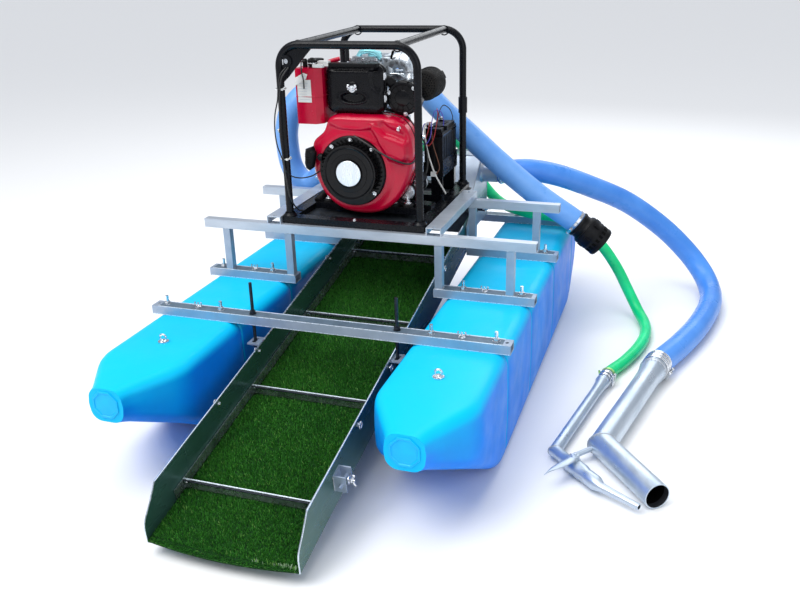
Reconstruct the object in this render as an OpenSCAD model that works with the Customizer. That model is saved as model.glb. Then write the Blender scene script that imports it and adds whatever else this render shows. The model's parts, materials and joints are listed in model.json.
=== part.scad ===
// Floating suction dredge: a sluice box slung between two floats, fed by a
// header box, with an engine-driven pump, hoses and a jet nozzle.
// Millimetres. +X right, +Y towards the engine end, +Z up, floats stand on z = 0.

/* [Floats] */
// Width of one float
float_w = 290; // [260:5:320]
// Height of one float
float_h = 345; // [320:5:370]
// Distance from the centre line to a float's inner side
float_in = 275; // [265:5:300]
// Wall thickness of a float
float_t = 5; // [3:1:8]

/* [Frame] */
// Overall width over the cross beams
frame_w = 1150; // [1110:10:1200]
// Depth of a cross beam, front to back
beam_d = 45; // [40:1:50]
// Height of a cross beam
beam_h = 28; // [24:1:32]
// Size of a square leg tube
leg_s = 25; // [20:1:30]
// Size of a square rail tube
rail_s = 30; // [25:1:35]
// Height of the rail tops above the ground
rail_z = 553; // [540:1:570]
// Y position of the second beam and the front rail
y_mid = 360; // [340:5:380]
// Y position of the third beam
y_third = 788; // [780:1:800]
// Y position of the rear rail
y_rr = 800; // [795:1:810]
// Y position of the rear beam
y_rear = 1222; // [1215:1:1240]

/* [Sluice] */
// Slope of the sluice in degrees
slope = 10.4; // [10:0.1:10.8]
// Depth of the tray
tray_d = 125; // [115:5:130]
// Left outer side of the tray
tray_l = -200; // [-205:1:-195]
// Right outer side of the tray
tray_r = 220; // [215:1:225]
// Thickness of the tray sheet
tray_t = 2; // [2:0.5:4]
// Thickness of the turf mat
mat_t = 12; // [8:1:14]
// Height of a riffle bar
riffle_h = 30; // [20:1:35]

/* [Power unit] */
// Outer diameter of the cage tube
cage_d = 25; // [22:1:28]
// Width of the cage, over the tubes
cage_w = 481; // [470:1:485]
// Height of the cage top above the ground
cage_z = 1142; // [1130:1:1160]
// X position of the engine's shaft
shaft_x = -58; // [-62:1:-54]
// Height of the engine's shaft
shaft_z = 722; // [718:1:726]

/* [Hoses] */
// Outer diameter of the intake hose
intake_d = 88; // [80:1:90]
// Outer diameter of the suction hose
suction_d = 86; // [80:1:88]
// Outer diameter of the pressure hose
pressure_d = 42; // [38:1:44]

/* [Hidden] */
$fn = 48;
ys = -452;                      // moves the middle of the length to the origin
e = 0.01;
bt = float_h + beam_h;          // top of the beams
cx = -35;                       // centre line of the power unit
cr = cage_d/2;
pxl = cx - cage_w/2 + cr;       // left post
pxr = cx + cage_w/2 - cr;       // right post
yf = 396; yb = 930;             // cage hoops
pvy = 905; pvz = 395;           // sluice pivot
q0 = 287;                       // height of the tray's top edge at y = 0
rod_x = [-230, 236]; rod_y = 22.5;
bolt_x = [-530, -340, 340, 530];
sx = shaft_x; sz = shaft_z;
noz_a = [950, 664, 47]; noz_b = [831, 111, 39]; noz_c = [999, -110, 39];
jet_a = [791, 564, 28]; jet_b = [701, 63, 24]; jet_c = [850, -92, 28]; jet_d = [956, -150, 24];

// ---------- helpers ----------
module at0() translate([0, ys, 0]) children();
function rrp(w, h, r, n = 5) = concat(
  [for (i = [0:n]) [w/2 - r + r*cos(90*i/n), h/2 - r + r*sin(90*i/n)]],
  [for (i = [0:n]) [-w/2 + r - r*sin(90*i/n), h/2 - r + r*cos(90*i/n)]],
  [for (i = [0:n]) [-w/2 + r - r*cos(90*i/n), -h/2 + r - r*sin(90*i/n)]],
  [for (i = [0:n]) [w/2 - r + r*sin(90*i/n), -h/2 + r - r*cos(90*i/n)]]);
// box from corner to corner
module bx(a, b) translate(a) cube(b - a);
// rod along Y between two y values
module cy(x, z, r, y0, y1) translate([x, y0, z]) rotate([-90, 0, 0]) cylinder(r = r, h = y1 - y0);
module cxx(y, z, r, x0, x1) translate([x0, y, z]) rotate([0, 90, 0]) cylinder(r = r, h = x1 - x0);
module cz(x, y, r, z0, z1) translate([x, y, z0]) cylinder(r = r, h = z1 - z0);
// cylinder from p to q
module rod(p, q, r) { v = q - p; l = norm(v);
  translate(p) rotate([0, acos(v[2]/l), atan2(v[1], v[0])]) cylinder(r = r, h = l); }
module hexn(x, y, z0, z1, af) translate([x, y, z0]) cylinder(d = af/cos(30), h = z1 - z0, $fn = 6);
// slab of a rounded section, normal to Y: x centre, z range, width
module slab(y, xc, w, z0, z1, r) translate([xc, y, (z0 + z1)/2]) rotate([90, 0, 0])
  translate([0, 0, -1]) linear_extrude(1) polygon(rrp(w, z1 - z0, r));
// square tube along X
module tube_x(x0, x1, y, z, d, h, t) difference() { bx([x0, y, z], [x1, y + d, z + h]);
  bx([x0 - 1, y + t, z + t], [x1 + 1, y + d - t, z + h - t]); }

// tube swept along a smooth curve through hand-set points
function unit(v) = v/norm(v);
function cr4(a, b, c, d, t) = 0.5*((2*b) + (c - a)*t + (2*a - 5*b + 4*c - d)*t*t + (3*b - a - 3*c + d)*t*t*t);
function smooth(p, k) = let(n = len(p)) concat([for (i = [0:n-2]) for (j = [0:k-1])
  cr4(i == 0 ? 2*p[0] - p[1] : p[i-1], p[i], p[i+1], i == n-2 ? 2*p[n-1] - p[n-2] : p[i+2], j/k)], [p[n-1]]);
function tng(p, i) = i == 0 ? unit(p[1] - p[0]) : i == len(p)-1 ? unit(p[i] - p[i-1])
  : unit(unit(p[i+1] - p[i]) + unit(p[i] - p[i-1]));
function nrm(p, i) = i == 0 ? let(t = tng(p, 0), a = abs(t[2]) < 0.9 ? [0,0,1] : [1,0,0]) unit(a - (a*t)*t)
  : let(a = nrm(p, i-1), t = tng(p, i)) unit(a - (a*t)*t);
module sweep(p, r, n) { m = len(p);
  fr = [for (i = [0:m-1]) let(t = tng(p, i), a = nrm(p, i), b = cross(t, a)) [a, b]];
  pts = [for (i = [0:m-1]) for (j = [0:n-1]) p[i] + r*(cos(360*j/n)*fr[i][0] + sin(360*j/n)*fr[i][1])];
  polyhedron(pts, concat([[for (j = [0:n-1]) j]],
    [for (i = [0:m-2]) for (j = [0:n-1]) [(i+1)*n+j, (i+1)*n+(j+1)%n, i*n+(j+1)%n, i*n+j]],
    [[for (j = [0:n-1]) (m-1)*n+n-1-j]]), convexity = 10); }

// ---------- routes ----------
intake_pts = [[-290,840,626],[-312,843,627],[-337,865,620],[-362,888,595],[-400,904,556],[-452,908,556],[-490,902,610],[-500,894,690],[-494,888,770],
  [-468,892,842],[-415,925,900],[-345,975,938],[-262,1012,960],[-160,1020,980],[-70,1018,972],[0,1012,925],[60,1010,862],[120,1010,806],[195,1012,742],[320,1015,634],[460,1032,520],[575,1053,438],[610,1058,412]];
suction_pts = [[285,1130,575],[325,1132,582],[400,1155,585],[500,1220,555],[620,1320,490],[760,1440,400],
  [900,1530,280],[1010,1560,170],[1085,1520,90],[1118,1430,50],[1122,1310,44],[1105,1180,43],[1070,1020,43],[1020,860,43],[970,724,45],[960,694,46]];
pressure_pts = [[10,925,690],[12,970,695],[35,1060,702],[70,1160,700],[110,1234,650],[150,1247,570],[200,1247,490],[280,1225,425],
  [400,1195,400],[520,1180,395],[610,1180,360],[690,1190,290],[755,1195,200],[805,1190,110],[850,1150,45],[885,1070,22],[893,960,22],[875,840,22],[840,720,22],[805,630,25],[798,602,27]];
cable_pts = [[126,752,831],[118,728,836],[116,708,812],[128,700,745],[152,706,665],[186,722,592]];

// ---------- floats ----------
module float_hull(t) hull() {
  xc = float_in + float_w/2; w = float_w - 2*t; z1 = float_h - t;
  slab(-50 + t*0.3, xc, w, t, z1, 40 - t);
  slab(-295 + t*0.3, xc, w, 154 + t, z1, 40 - t);
  slab(-470 + t, xc, 92 - 2*t, 243 + t, 337 - t, 34 - t);
  slab(1240 - t*0.3, xc, w, t, z1, 40 - t);
  slab(1390 - t*0.3, xc, w, 165 + t, z1, 40 - t);
  slab(1560 - t, xc, 92 - 2*t, 243 + t, 337 - t, 34 - t);
}
module float_body() difference() {
  float_hull(0); float_hull(float_t);
  cz(420, -180, 9, float_h - 30, float_h + 5);
  cy(420, 290, 14, 1540, 1570);
  // shallow seams across the top and down both sides, at the beams
  for (y = [22, 382, 810, 1244]) for (x = [float_in - 1, float_in + float_w - 2]) bx([x, y - 6, 60], [x + 3, y + 6, 300]);
}
module float_right() color([0.02, 0.62, 0.92]) at0() float_body();
module float_left() color([0.02, 0.62, 0.92]) at0() mirror([1, 0, 0]) float_body();
module drain_plugs() color([0.05, 0.35, 0.7]) at0() for (s = [-1, 1]) {
  cy(s*420, 290, 13.9, 1548, 1561); cy(s*420, 290, 20, 1561, 1570); }
module float_eyes() color("silver") at0() for (s = [-1, 1]) {
  cz(s*420, -180, 8.9, float_h - 8, float_h); cz(s*420, -180, 16, float_h, float_h + 4);
  translate([s*420, -180, float_h + 14]) rotate([90, 0, 0]) rotate_extrude() translate([10, 0]) circle(r = 3, $fn = 24); }

// ---------- frame ----------
module beam(x0, x1, y, bolts) difference() {
  tube_x(x0, x1, y, float_h, beam_d, beam_h, 3);
  for (x = bolts) cz(x, y + beam_d/2, 5.5, float_h - 1, bt + 1);
}
module beam_front() color([0.72, 0.76, 0.82]) at0() difference() {
  beam(-frame_w/2, frame_w/2, 0, bolt_x);
  for (x = concat(rod_x, [-560, 560])) cz(x, rod_y, 5.5, float_h - 1, bt + 1); }
module beams_middle() color([0.72, 0.76, 0.82]) at0() { beam(245, frame_w/2, y_mid, [340, 530]); beam(-frame_w/2, -245, y_mid, [-340, -530]); }
module beams_third() color([0.72, 0.76, 0.82]) at0() { beam(245, frame_w/2, y_third, [340, 530]); beam(-frame_w/2, -245, y_third, [-340, -530]); }
module beam_rear() color([0.72, 0.76, 0.82]) at0() beam(-frame_w/2, frame_w/2, y_rear, bolt_x);
module beam_bolts() color("silver") at0() for (y = [0, y_mid, y_third, y_rear]) for (x = bolt_x) {
  cz(x, y + beam_d/2, 5, float_h, bt + 30); cz(x, y + beam_d/2, 11, bt, bt + 2); hexn(x, y + beam_d/2, bt + 2, bt + 10, 17); }
module leg(x, y) difference() { bx([x - leg_s/2, y, bt], [x + leg_s/2, y + leg_s, rail_z - rail_s]);
  bx([x - leg_s/2 + 2, y + 2, bt - 1], [x + leg_s/2 - 2, y + leg_s - 2, rail_z]); }
module legs_front() color([0.6, 0.66, 0.75]) at0() for (x = [-495, -262, 262, 495]) leg(x, y_mid + 2);
module legs_rear() color([0.6, 0.66, 0.75]) at0() for (x = [-495, -262, 262, 495]) leg(x, y_rr + 2);
module rail(y) difference() { tube_x(-frame_w/2, frame_w/2, y, rail_z - rail_s, rail_s, rail_s, 2.5);
  for (s = [-1, 1]) translate([s*frame_w/2, y + rail_s/2, rail_z - rail_s]) rotate([0, s*35, 0]) translate([s*20, 0, 0]) cube([40, 60, 120], center = true);
  for (x = [-310, 247]) cz(x, y + rail_s/2, 5.5, rail_z - rail_s - 1, rail_z + 1); }
module rail_front() color([0.75, 0.78, 0.83]) at0() rail(y_mid);
module rail_rear() color([0.75, 0.78, 0.83]) at0() rail(y_rr);
module deck_channels() color([0.62, 0.65, 0.7]) at0() for (x = [-335, 222]) difference() {
  bx([x, 362, rail_z], [x + 50, 835, rail_z + 25]); bx([x + 3, 361, rail_z - 1], [x + 47, 836, rail_z + 22]);
  for (y = [y_mid + 15, y_rr + 15]) cz(x + 25, y, 5.5, rail_z, rail_z + 30); }
module deck_plate() color([0.5, 0.53, 0.56]) at0() bx([-284, 392, rail_z], [221, 955, rail_z + 3]);

// ---------- cage ----------
// quarter bend in the XZ plane, centre line radius rb, from angle a
module elbow(c, rb, r, a) translate(c) rotate([90, -a, 0]) rotate_extrude(angle = 90) translate([rb, 0]) circle(r = r);
module hoop(y, z0) { rb = 70; zt = cage_z - cr;
  cz(pxl, y, cr, z0, zt - rb); cz(pxr, y, cr, z0, zt - rb);
  cxx(y, zt, cr, pxl + rb, pxr - rb);
  translate([pxr - rb, y, zt - rb]) rotate([90, 0, 0]) rotate_extrude(angle = 90) translate([rb, 0]) circle(r = cr);
  translate([pxl + rb, y, zt - rb]) rotate([90, 0, 0]) rotate([0, 0, 90]) rotate_extrude(angle = 90) translate([rb, 0]) circle(r = cr); }
module cage_front() color([0.07, 0.07, 0.08]) at0() { hoop(yf, 579);
  for (x = [pxl, pxr]) cz(x, yf, 20, 576, 579);
  cz(cx + 5, yf, 6, cage_z - 60, cage_z - cage_d + 2); }
module cage_rear() color([0.07, 0.07, 0.08]) at0() { hoop(yb, 579);
  for (x = [pxl, pxr]) { cz(x, yb, 20, 576, 579); cz(x, yb, cr + 3.5, 840, 895); } }
module cage_side_tubes() color([0.07, 0.07, 0.08]) at0() for (x = [cx - 163, cx + 163])
  rod([x, yf + 9, cage_z - cr], [x, yb - 9, cage_z - cr], cr - 0.5);
module cage_base() color([0.06, 0.06, 0.07]) at0() difference() {
  union() { for (x = [pxl - 20, pxr - 20]) bx([x, 376, 556], [x + 40, 952, 576]);
    for (y = [376, 912]) bx([pxl + 20, y, 556], [pxr - 20, y + 40, 576]);
    for (y = [585, 715]) bx([pxl + 20, y, 556], [pxr - 20, y + 50, 586]); }
  for (x = [-125, 35]) for (y = [610, 740]) cz(x, y, 5.5, 550, 590);
}
module rubber_mounts() color([0.1, 0.1, 0.1]) at0() for (x = [-125, 35]) for (y = [610, 740]) {
  cz(x, y, 20, 586, 606); cz(x, y, 5, 556, 586); }

// ---------- engine ----------
module crankcase() color([0.45, 0.47, 0.5]) at0() difference() {
  union() { cy(sx, sz, 100, 566, 785); bx([sx - 85, 575, 618], [sx + 85, 775, sz]);
    for (x = [-125, 35]) bx([x - 25, 590, 606], [x + 25, 765, 618]);
    bx([sx - 62, 590, sz + 60], [sx + 62, 750, 860]); bx([10, 605, 775], [58, 665, 840]);
    bx([30, 690, 730], [54, 722, 762]); cxx(706, 746, 6, 54, 70); }
  cy(sx, sz, 15.05, 560, 790);
  // the case is hollow round the crank
  cy(sx, sz, 82, 580, 770);
}
module cylinder_head() color([0.62, 0.65, 0.68]) at0() {
  bx([sx - 48, 600, 860], [sx + 48, 735, 985]);
  for (i = [0:8]) bx([sx - 66, 590, 866 + i*13], [sx + 66, 748, 872 + i*13]);
  bx([sx - 60, 595, 985], [sx + 60, 745, 1030]);
  bx([sx - 45, 605, 1030], [sx + 40, 735, 1058]); }
shroud_o = [[-128,896],[50,900],[110,884],[140,838],[147,765],[130,697],[92,630],[36,588],[-35,576],[-110,590],[-165,634],[-193,690],[-202,745],[-196,812],[-156,850]];
module fan_shroud() color([0.75, 0.02, 0.12]) at0() difference() {
  translate([0, 562, 0]) rotate([90, 0, 0]) linear_extrude(92) polygon(shroud_o);
  translate([0, 570, 0]) rotate([90, 0, 0]) linear_extrude(96) polygon([for (p = shroud_o) [cx + (p[0] - cx)*0.96, 730 + (p[1] - 730)*0.96]]);
  cy(sx, sz, 98, 460, 480);
}
module recoil_cover() color([0.05, 0.05, 0.06]) at0() difference() {
  union() { cy(sx, sz, 113, 456, 470); cy(sx, sz, 92, 428, 457); cy(sx, sz, 42, 425, 428);
    for (a = [45, 90, 135, 225, 315]) rotate_about(a) cy(sx + 103, sz, 6, 450, 457); }
  cy(sx, sz, 86, 433, 471); cy(sx, sz, 8.05, 427, 434);
  // slot the rope comes out of
  bx([sx - 120, 440, sz + 39], [sx - 60, 452, sz + 51]);
}
module rotate_about(a) translate([sx, 0, sz]) rotate([0, -a, 0]) translate([-sx, 0, -sz]) children();
module flywheel_fan() color([0.35, 0.36, 0.38]) at0() difference() {
  union() { cy(sx, sz, 88, 500, 524); cy(sx, sz, 30, 488, 500);
    for (a = [0:30:330]) rotate_about(a) bx([sx + 40, 486, sz - 2], [sx + 86, 500, sz + 2]); }
  cy(sx, sz, 15, 480, 530); }
module crankshaft() color([0.6, 0.6, 0.62]) at0() { cy(sx, sz, 15, 488, 851);
  cy(sx, sz, 34, 650, 700); }
module recoil_pulley() color([0.3, 0.3, 0.32]) at0() { cy(sx, sz, 42, 441, 451); cy(sx, sz, 50, 438, 441); cy(sx, sz, 50, 451, 454); cy(sx, sz, 8, 429, 438); }
module recoil_handle() color([0.04, 0.04, 0.05]) at0() { rod([sx - 128, 446, sz + 45], [sx + 20, 446, sz + 45], 2);
  hull() { translate([sx - 134, 446, sz + 56]) sphere(r = 16, $fn = 24); translate([sx - 142, 446, sz + 22]) sphere(r = 16, $fn = 24); } }
module air_cleaner() color([0.05, 0.05, 0.06]) at0() difference() {
  union() { translate([-57, 544, 980]) rotate([90, 0, 0]) linear_extrude(38) polygon(rrp(196, 156, 26));
    translate([-57, 507, 980]) rotate([90, 0, 0]) linear_extrude(6) polygon(rrp(170, 130, 22)); }
  translate([-57, 540, 980]) rotate([90, 0, 0]) linear_extrude(32) polygon(rrp(188, 148, 22));
  bx([-100, 490, 946], [-20, 503, 962]);
  cy(-58, 983, 4.05, 490, 520);
}
module air_cleaner_nut() color([0.75, 0.77, 0.8]) at0() { cy(-58, 983, 4, 485, 536); cy(-58, 983, 11, 490, 500.5);
  bx([-74, 490, 980], [-42, 496, 986]); }
module intake_housing() color([0.06, 0.06, 0.07]) at0() difference() { cy(96, 950, 56, 546, 598); cy(96, 950, 50, 551, 600); }
module muffler() color([0.12, 0.12, 0.12]) at0() { cy(132, 980, 49, 628, 706); cy(132, 980, 43, 620, 628); cy(132, 980, 43, 706, 712); }
module exhaust_elbow() color([0.78, 0.8, 0.82]) at0() { cxx(670, 1005, 20, 2, 82.9); }
tank_o = [[-246,470],[-180,470],[-160,490],[-160,640],[-246,640]];
module fuel_tank() color([0.75, 0.02, 0.12]) at0() difference() { translate([0, 0, 870]) linear_extrude(178) polygon(tank_o);
  translate([0, 0, 873]) linear_extrude(172) polygon([for (p = tank_o) [-203 + (p[0] + 203)*0.93, 555 + (p[1] - 555)*0.96]]);
  cz(-203, 545, 17, 1040, 1055); }
module fuel_cap() color([0.06, 0.06, 0.07]) at0() { cz(-203, 545, 16.5, 1044, 1050.3); cz(-203, 545, 25, 1048.4, 1070);
  for (a = [0:45:315]) translate([-203, 545, 0]) rotate([0, 0, a]) bx([23, -3, 1051], [27.5, 3, 1068]); }
module injection_pump() color([0.6, 0.63, 0.66]) at0() { bx([58, 605, 770], [98, 660, 850]); cz(80, 622, 14, 850, 880);
  cz(80, 622, 4, 879, 985); translate([50, 622, 985]) rotate([90, 0, 0]) rotate_extrude(angle = 90) translate([30, 0]) circle(r = 4);
  cxx(622, 1015, 4, 2, 50); cxx(622, 1015, 8, 2, 11); }
module throttle_lever() color([0.7, 0.7, 0.72]) at0() difference() { union() { cxx(706, 746, 12, 60, 64); bx([60, 700, 746], [64, 712, 806]);
  cxx(706, 806, 9, 60, 70); } cxx(706, 746, 6.05, 50, 80); }
module switch_gusset() color([0.07, 0.07, 0.08]) at0() difference() { union() {
  translate([0, yf + 3, 0]) rotate([90, 0, 0]) linear_extrude(6) polygon([[pxl + 2, 1005], [pxl + 2, 1062], [pxl + 24, 1107], [pxl + 68, 1127], [pxl + 122, 1127], [pxl + 90, 1094], [pxl + 30, 1030]]);
  cy(-235, 1080, 19, yf - 9, yf - 3); cy(-235, 1080, 14, yf + 3, yf + 35); }
  cy(-235, 1080, 8.05, yf - 20, yf + 10); }
module switch_key() color([0.8, 0.82, 0.85]) at0() { cy(-235, 1080, 8, yf - 12, yf + 9); bx([-236.5, yf - 30, 1072], [-233.5, yf - 12, 1088]); }
module battery() color([0.05, 0.05, 0.06]) at0() { bx([108, 726, 657], [174, 905, 806]); bx([112, 730, 806], [170, 901, 817]);
  for (y = [752, 880]) cz(126, y, 8, 817, 827); }
module battery_bracket() color([0.07, 0.07, 0.08]) at0() { bx([105, 722, 651], [177, 908, 657]); for (y = [732, 880]) bx([130, y, 586 - (y > 800 ? 10 : 0)], [172, y + 6, 651]);
  bx([105, 722, 657], [108, 726, 700]); bx([174, 722, 657], [177, 908, 710]); }
module battery_cable() color([0.9, 0.9, 0.88]) at0() sweep(smooth(cable_pts, 2), 3, 8);

// ---------- pump ----------
module pump_casing() color([0.2, 0.3, 0.42]) at0() difference() {
  union() { cy(sx, sz, 100, 800, 878); bx([-128, 802, 586], [38, 876, sz]); cy(10, 690, 21, 870, 925); cy(10, 690, 28, 876, 884);
    cxx(840, 626, 45, -140, -120); cxx(840, 626, 38, -160, -130); bx([-110, 790, 576], [20, 888, 586]); }
  cy(sx, sz, 84, 812, 850); cy(sx, sz, 15.05, 790, 815); cy(sx, sz, 34, 845, 866);
  cy(10, 690, 16, 862, 930); bx([-116, 852, 600], [26, 866, sz + 10]); cxx(840, 626, 33, -165, -100); bx([-118, 820, 598], [-80, 866, 660]);
}
module pump_impeller() color([0.72, 0.6, 0.3]) at0() difference() {
  union() { cy(sx, sz, 80, 818, 824); cy(sx, sz, 24, 824, 846); for (a = [0:60:300]) rotate_about(a) bx([sx + 22, 824, sz - 3], [sx + 78, 844, sz + 3]); }
  cy(sx, sz, 15, 810, 851); }
module suction_pipe() color([0.08, 0.08, 0.09]) at0() difference() {
  union() { cxx(840, 626, 38, -290, -160); cxx(840, 626, 47, -172, -160); }
  cxx(840, 626, 34, -300, -150); }

// ---------- header box ----------
hb_o = [[940,380],[940,505],[1105,640],[1205,640],[1205,380]];
hb_i = [[938,383],[938,503],[1106,637],[1202,637],[1202,383]];
module prof_x(p, x0, x1) translate([x0, 0, 0]) rotate([90, 0, 90]) linear_extrude(x1 - x0) polygon(p);
module header_box() color([0.66, 0.7, 0.75]) at0() difference() {
  union() { prof_x(hb_o, -200, 220); cxx(1130, 575, 38, 217, 285);
    for (x = [-205, 221]) prof_x([[870,365],[870,425],[940,470],[960,470],[960,380],[930,365]], x, x + 4);
    bx([-202, 942, 380], [-200, 960, 470]); bx([220, 942, 380], [222, 960, 470]);
    for (x = [-180, 180]) bx([x - 15, 1200, 373], [x + 15, 1250, 380]); for (x = [-180, 180]) bx([x-15, 1205, 373], [x+15, 1211, 430]); }
  prof_x(hb_i, -197, 217); cxx(1130, 575, 34, 210, 290);
  cxx(pvy, pvz, 6.05, -220, 240);
}

// ---------- sluice ----------
// sloped frame: v runs up the slope, w is square to the floor, w = 0 at the top edge
module sl() translate([0, 0, q0]) rotate([slope, 0, 0]) children();
tray_o = [[-700,-tray_d],[-690,-72],[-615,0],[930,0],[930,-tray_d]];
module sluice_tray() color([0.25, 0.36, 0.34]) at0() { sl() difference() {
    prof_x(tray_o, tray_l, tray_r);
    prof_x([[-760,-tray_d + tray_t],[-760,60],[960,60],[960,-tray_d + tray_t]], tray_l + tray_t, tray_r - tray_t); }
  for (s = [[-209, -197], [217, 229]]) cxx(pvy, pvz, 6, s[0], s[1]); }
module tray_lugs() color([0.7, 0.73, 0.77]) at0() {
  difference() { union() { bx([-246, rod_y - 26, 279], [tray_l, rod_y + 26, 284]); bx([tray_r, rod_y - 26, 279], [252, rod_y + 26, 284]); }
    for (x = rod_x) hull() { cz(x, rod_y - 9, 6.5, 270, 290); cz(x, rod_y + 9, 6.5, 270, 290); } }
  sl() { bx([tray_r, -465, -80], [tray_r + 34, -461, -30]); bx([tray_r, -425, -80], [tray_r + 34, -421, -30]);
    cy(tray_r + 22, -55, 5, -480, -410); bx([tray_r, -461, -80], [tray_r + 4, -425, -30]);
    for (v = [-280]) { cxx(v, -14, 6, tray_r, tray_r + 8); cxx(v, -14, 6, tray_l - 8, tray_l); } } }
module riffle_frame() color([0.6, 0.66, 0.68]) at0() sl() { z0 = -tray_d + tray_t + mat_t;
  for (x = [tray_l + tray_t + 2, tray_r - tray_t - 5]) bx([x, -560, z0], [x + 3, 900, z0 + riffle_h]);
  for (v = [-515, -105, 310, 750]) bx([tray_l + tray_t + 5, v, z0], [tray_r - tray_t - 5, v + 4, z0 + riffle_h]); }
module turf_mat() color([0.05, 0.3, 0.08]) at0() sl() bx([tray_l + tray_t + 1, -696, -tray_d + tray_t], [tray_r - tray_t - 1, 905, -tray_d + tray_t + mat_t]);
module hanger_rods() color([0.08, 0.09, 0.12]) at0() for (x = rod_x) { cz(x, rod_y, 5, 238, 475);
  cz(x, rod_y, 11, bt, bt + 2); hexn(x, rod_y, bt + 2, bt + 11, 17); hexn(x, rod_y, float_h - 9, float_h, 17); }
module hanger_nuts() color([0.12, 0.13, 0.16]) at0() for (x = rod_x) difference() {
  union() { cz(x, rod_y, 12, 275.6, 278); hexn(x, rod_y, 266, 275.7, 17); } cz(x, rod_y, 5.08, 260, 290); }

// ---------- hoses and what is on them ----------
module intake_hose() color([0.35, 0.6, 0.9]) at0() sweep(intake_pts, intake_d/2, 12);
module suction_hose() color([0.2, 0.55, 0.95]) at0() sweep(suction_pts, suction_d/2, 12);
module pressure_hose() color([0.05, 0.8, 0.5]) at0() sweep(pressure_pts, pressure_d/2, 10);
fv_a = [610, 1058, 412]; fv_d = unit([100, 10, -80]);
// along the foot valve: z = 0 at the hose end, x up across it
module fv() translate(fv_a) rotate([0, acos(fv_d[2]), atan2(fv_d[1], fv_d[0])]) children();
module foot_valve() color([0.07, 0.08, 0.09]) at0() fv() difference() {
  union() { cylinder(r = 46, h = 30); translate([0, 0, 29]) cylinder(r = 54, h = 89); }
  translate([0, 0, 12]) cylinder(r = 42, h = 53.5); translate([0, 0, 70]) cylinder(r = 42, h = 42);
  translate([0, 0, -5]) cylinder(r = 34, h = 25); translate([0, 0, 60]) cylinder(r = 30, h = 20);
  translate([-36, 0, 62]) rotate([90, 0, 0]) cylinder(r = 3.05, h = 54, center = true);
  for (z = [76, 92]) for (a = [0, 90]) rotate([0, 0, a]) translate([-70, -9, z]) cube([140, 18, 8]); }
module foot_flapper() color([0.1, 0.1, 0.1]) at0() fv() { translate([0, 0, 60]) cylinder(r = 36, h = 4);
  translate([-36, 0, 62]) rotate([90, 0, 0]) cylinder(r = 3, h = 52, center = true); }
// pipe through points p with radii r, its corners mitred; q = inner radii makes it hollow
function mir(v, m) = v - 2*(v*m)*m;
function pfr(p, i) = i == 0 ? let(d = unit(p[1] - p[0]), s = unit(cross(d, [0, 0, 1]))) [s, cross(d, s)]
  : let(f = pfr(p, i-1), m = unit(unit(p[i] - p[i-1]) + unit(p[i+1] - p[i]))) [mir(f[0], m), mir(f[1], m)];
function pring(p, i, r, n) = let(k = max(i-1, 0), f = pfr(p, k), d = unit(p[k+1] - p[k]),
  m = i == 0 || i == len(p)-1 ? d : unit(d + unit(p[i+1] - p[i])))
  [for (j = [0:n-1]) let(o = r*(cos(360*j/n)*f[0] + sin(360*j/n)*f[1])) p[i] + o - d*((o*m)/(d*m))];
module mitred(p, r, q = [], n = 28) { m = len(p); h = len(q) > 0;
  o = [for (i = [0:m-1]) each pring(p, i, r[i], n)];
  u = h ? [for (i = [0:m-1]) each pring(p, i, q[i], n)] : [];
  k = m*n; z = (m-1)*n;
  polyhedron(concat(o, u), concat(
    [for (i = [0:m-2]) for (j = [0:n-1]) [(i+1)*n+j, (i+1)*n+(j+1)%n, i*n+(j+1)%n, i*n+j]],
    h ? [for (i = [0:m-2]) for (j = [0:n-1]) [k+i*n+j, k+i*n+(j+1)%n, k+(i+1)*n+(j+1)%n, k+(i+1)*n+j]] : [],
    h ? [for (j = [0:n-1]) [j, (j+1)%n, k+(j+1)%n, k+j]] : [[for (j = [0:n-1]) j]],
    h ? [for (j = [0:n-1]) [z+(j+1)%n, z+j, k+z+j, k+z+(j+1)%n]] : [[for (j = [0:n-1]) z+n-1-j]]), convexity = 6); }
module suction_nozzle() color([0.72, 0.76, 0.8]) at0()
  mitred([noz_a, noz_a + 0.07*(noz_b - noz_a), noz_a + 0.075*(noz_b - noz_a), noz_b, noz_c], [43, 43, 38, 38, 38], [35, 35, 35, 35, 35]);
module jet_tube() color([0.72, 0.76, 0.8]) at0() { bc = jet_c - jet_b;
  mitred([jet_a - 0.07*(jet_b - jet_a), jet_a + 0.03*(jet_b - jet_a), jet_a + 0.05*(jet_b - jet_a), jet_b, jet_b + 0.3*bc, jet_b + 0.32*bc,
    jet_b + 0.97*bc, jet_c, jet_d], [21, 21, 17.5, 17.5, 17.5, 24, 24, 14, 9], n = 24);
  cz(768, -7, 11, 50.6, 56); cz(768, -7, 6, 55.9, 65); rod([751.3, 36.5, 26], [802.6, 84.4, 35], 8); }
lev = [[768,-7],[746,-38],[722,-72],[700,-116]];
module jet_lever() color([0.66, 0.7, 0.75]) at0() difference() { union() { cz(768, -7, 13, 56.4, 62);
    for (i = [0:2]) hull() { cz(lev[i][0], lev[i][1], 8 - i*1.2, 57, 61); cz(lev[i+1][0], lev[i+1][1], 6.8 - i*1.2, 57, 61); } }
  cz(768, -7, 6.05, 50, 70); }

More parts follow.
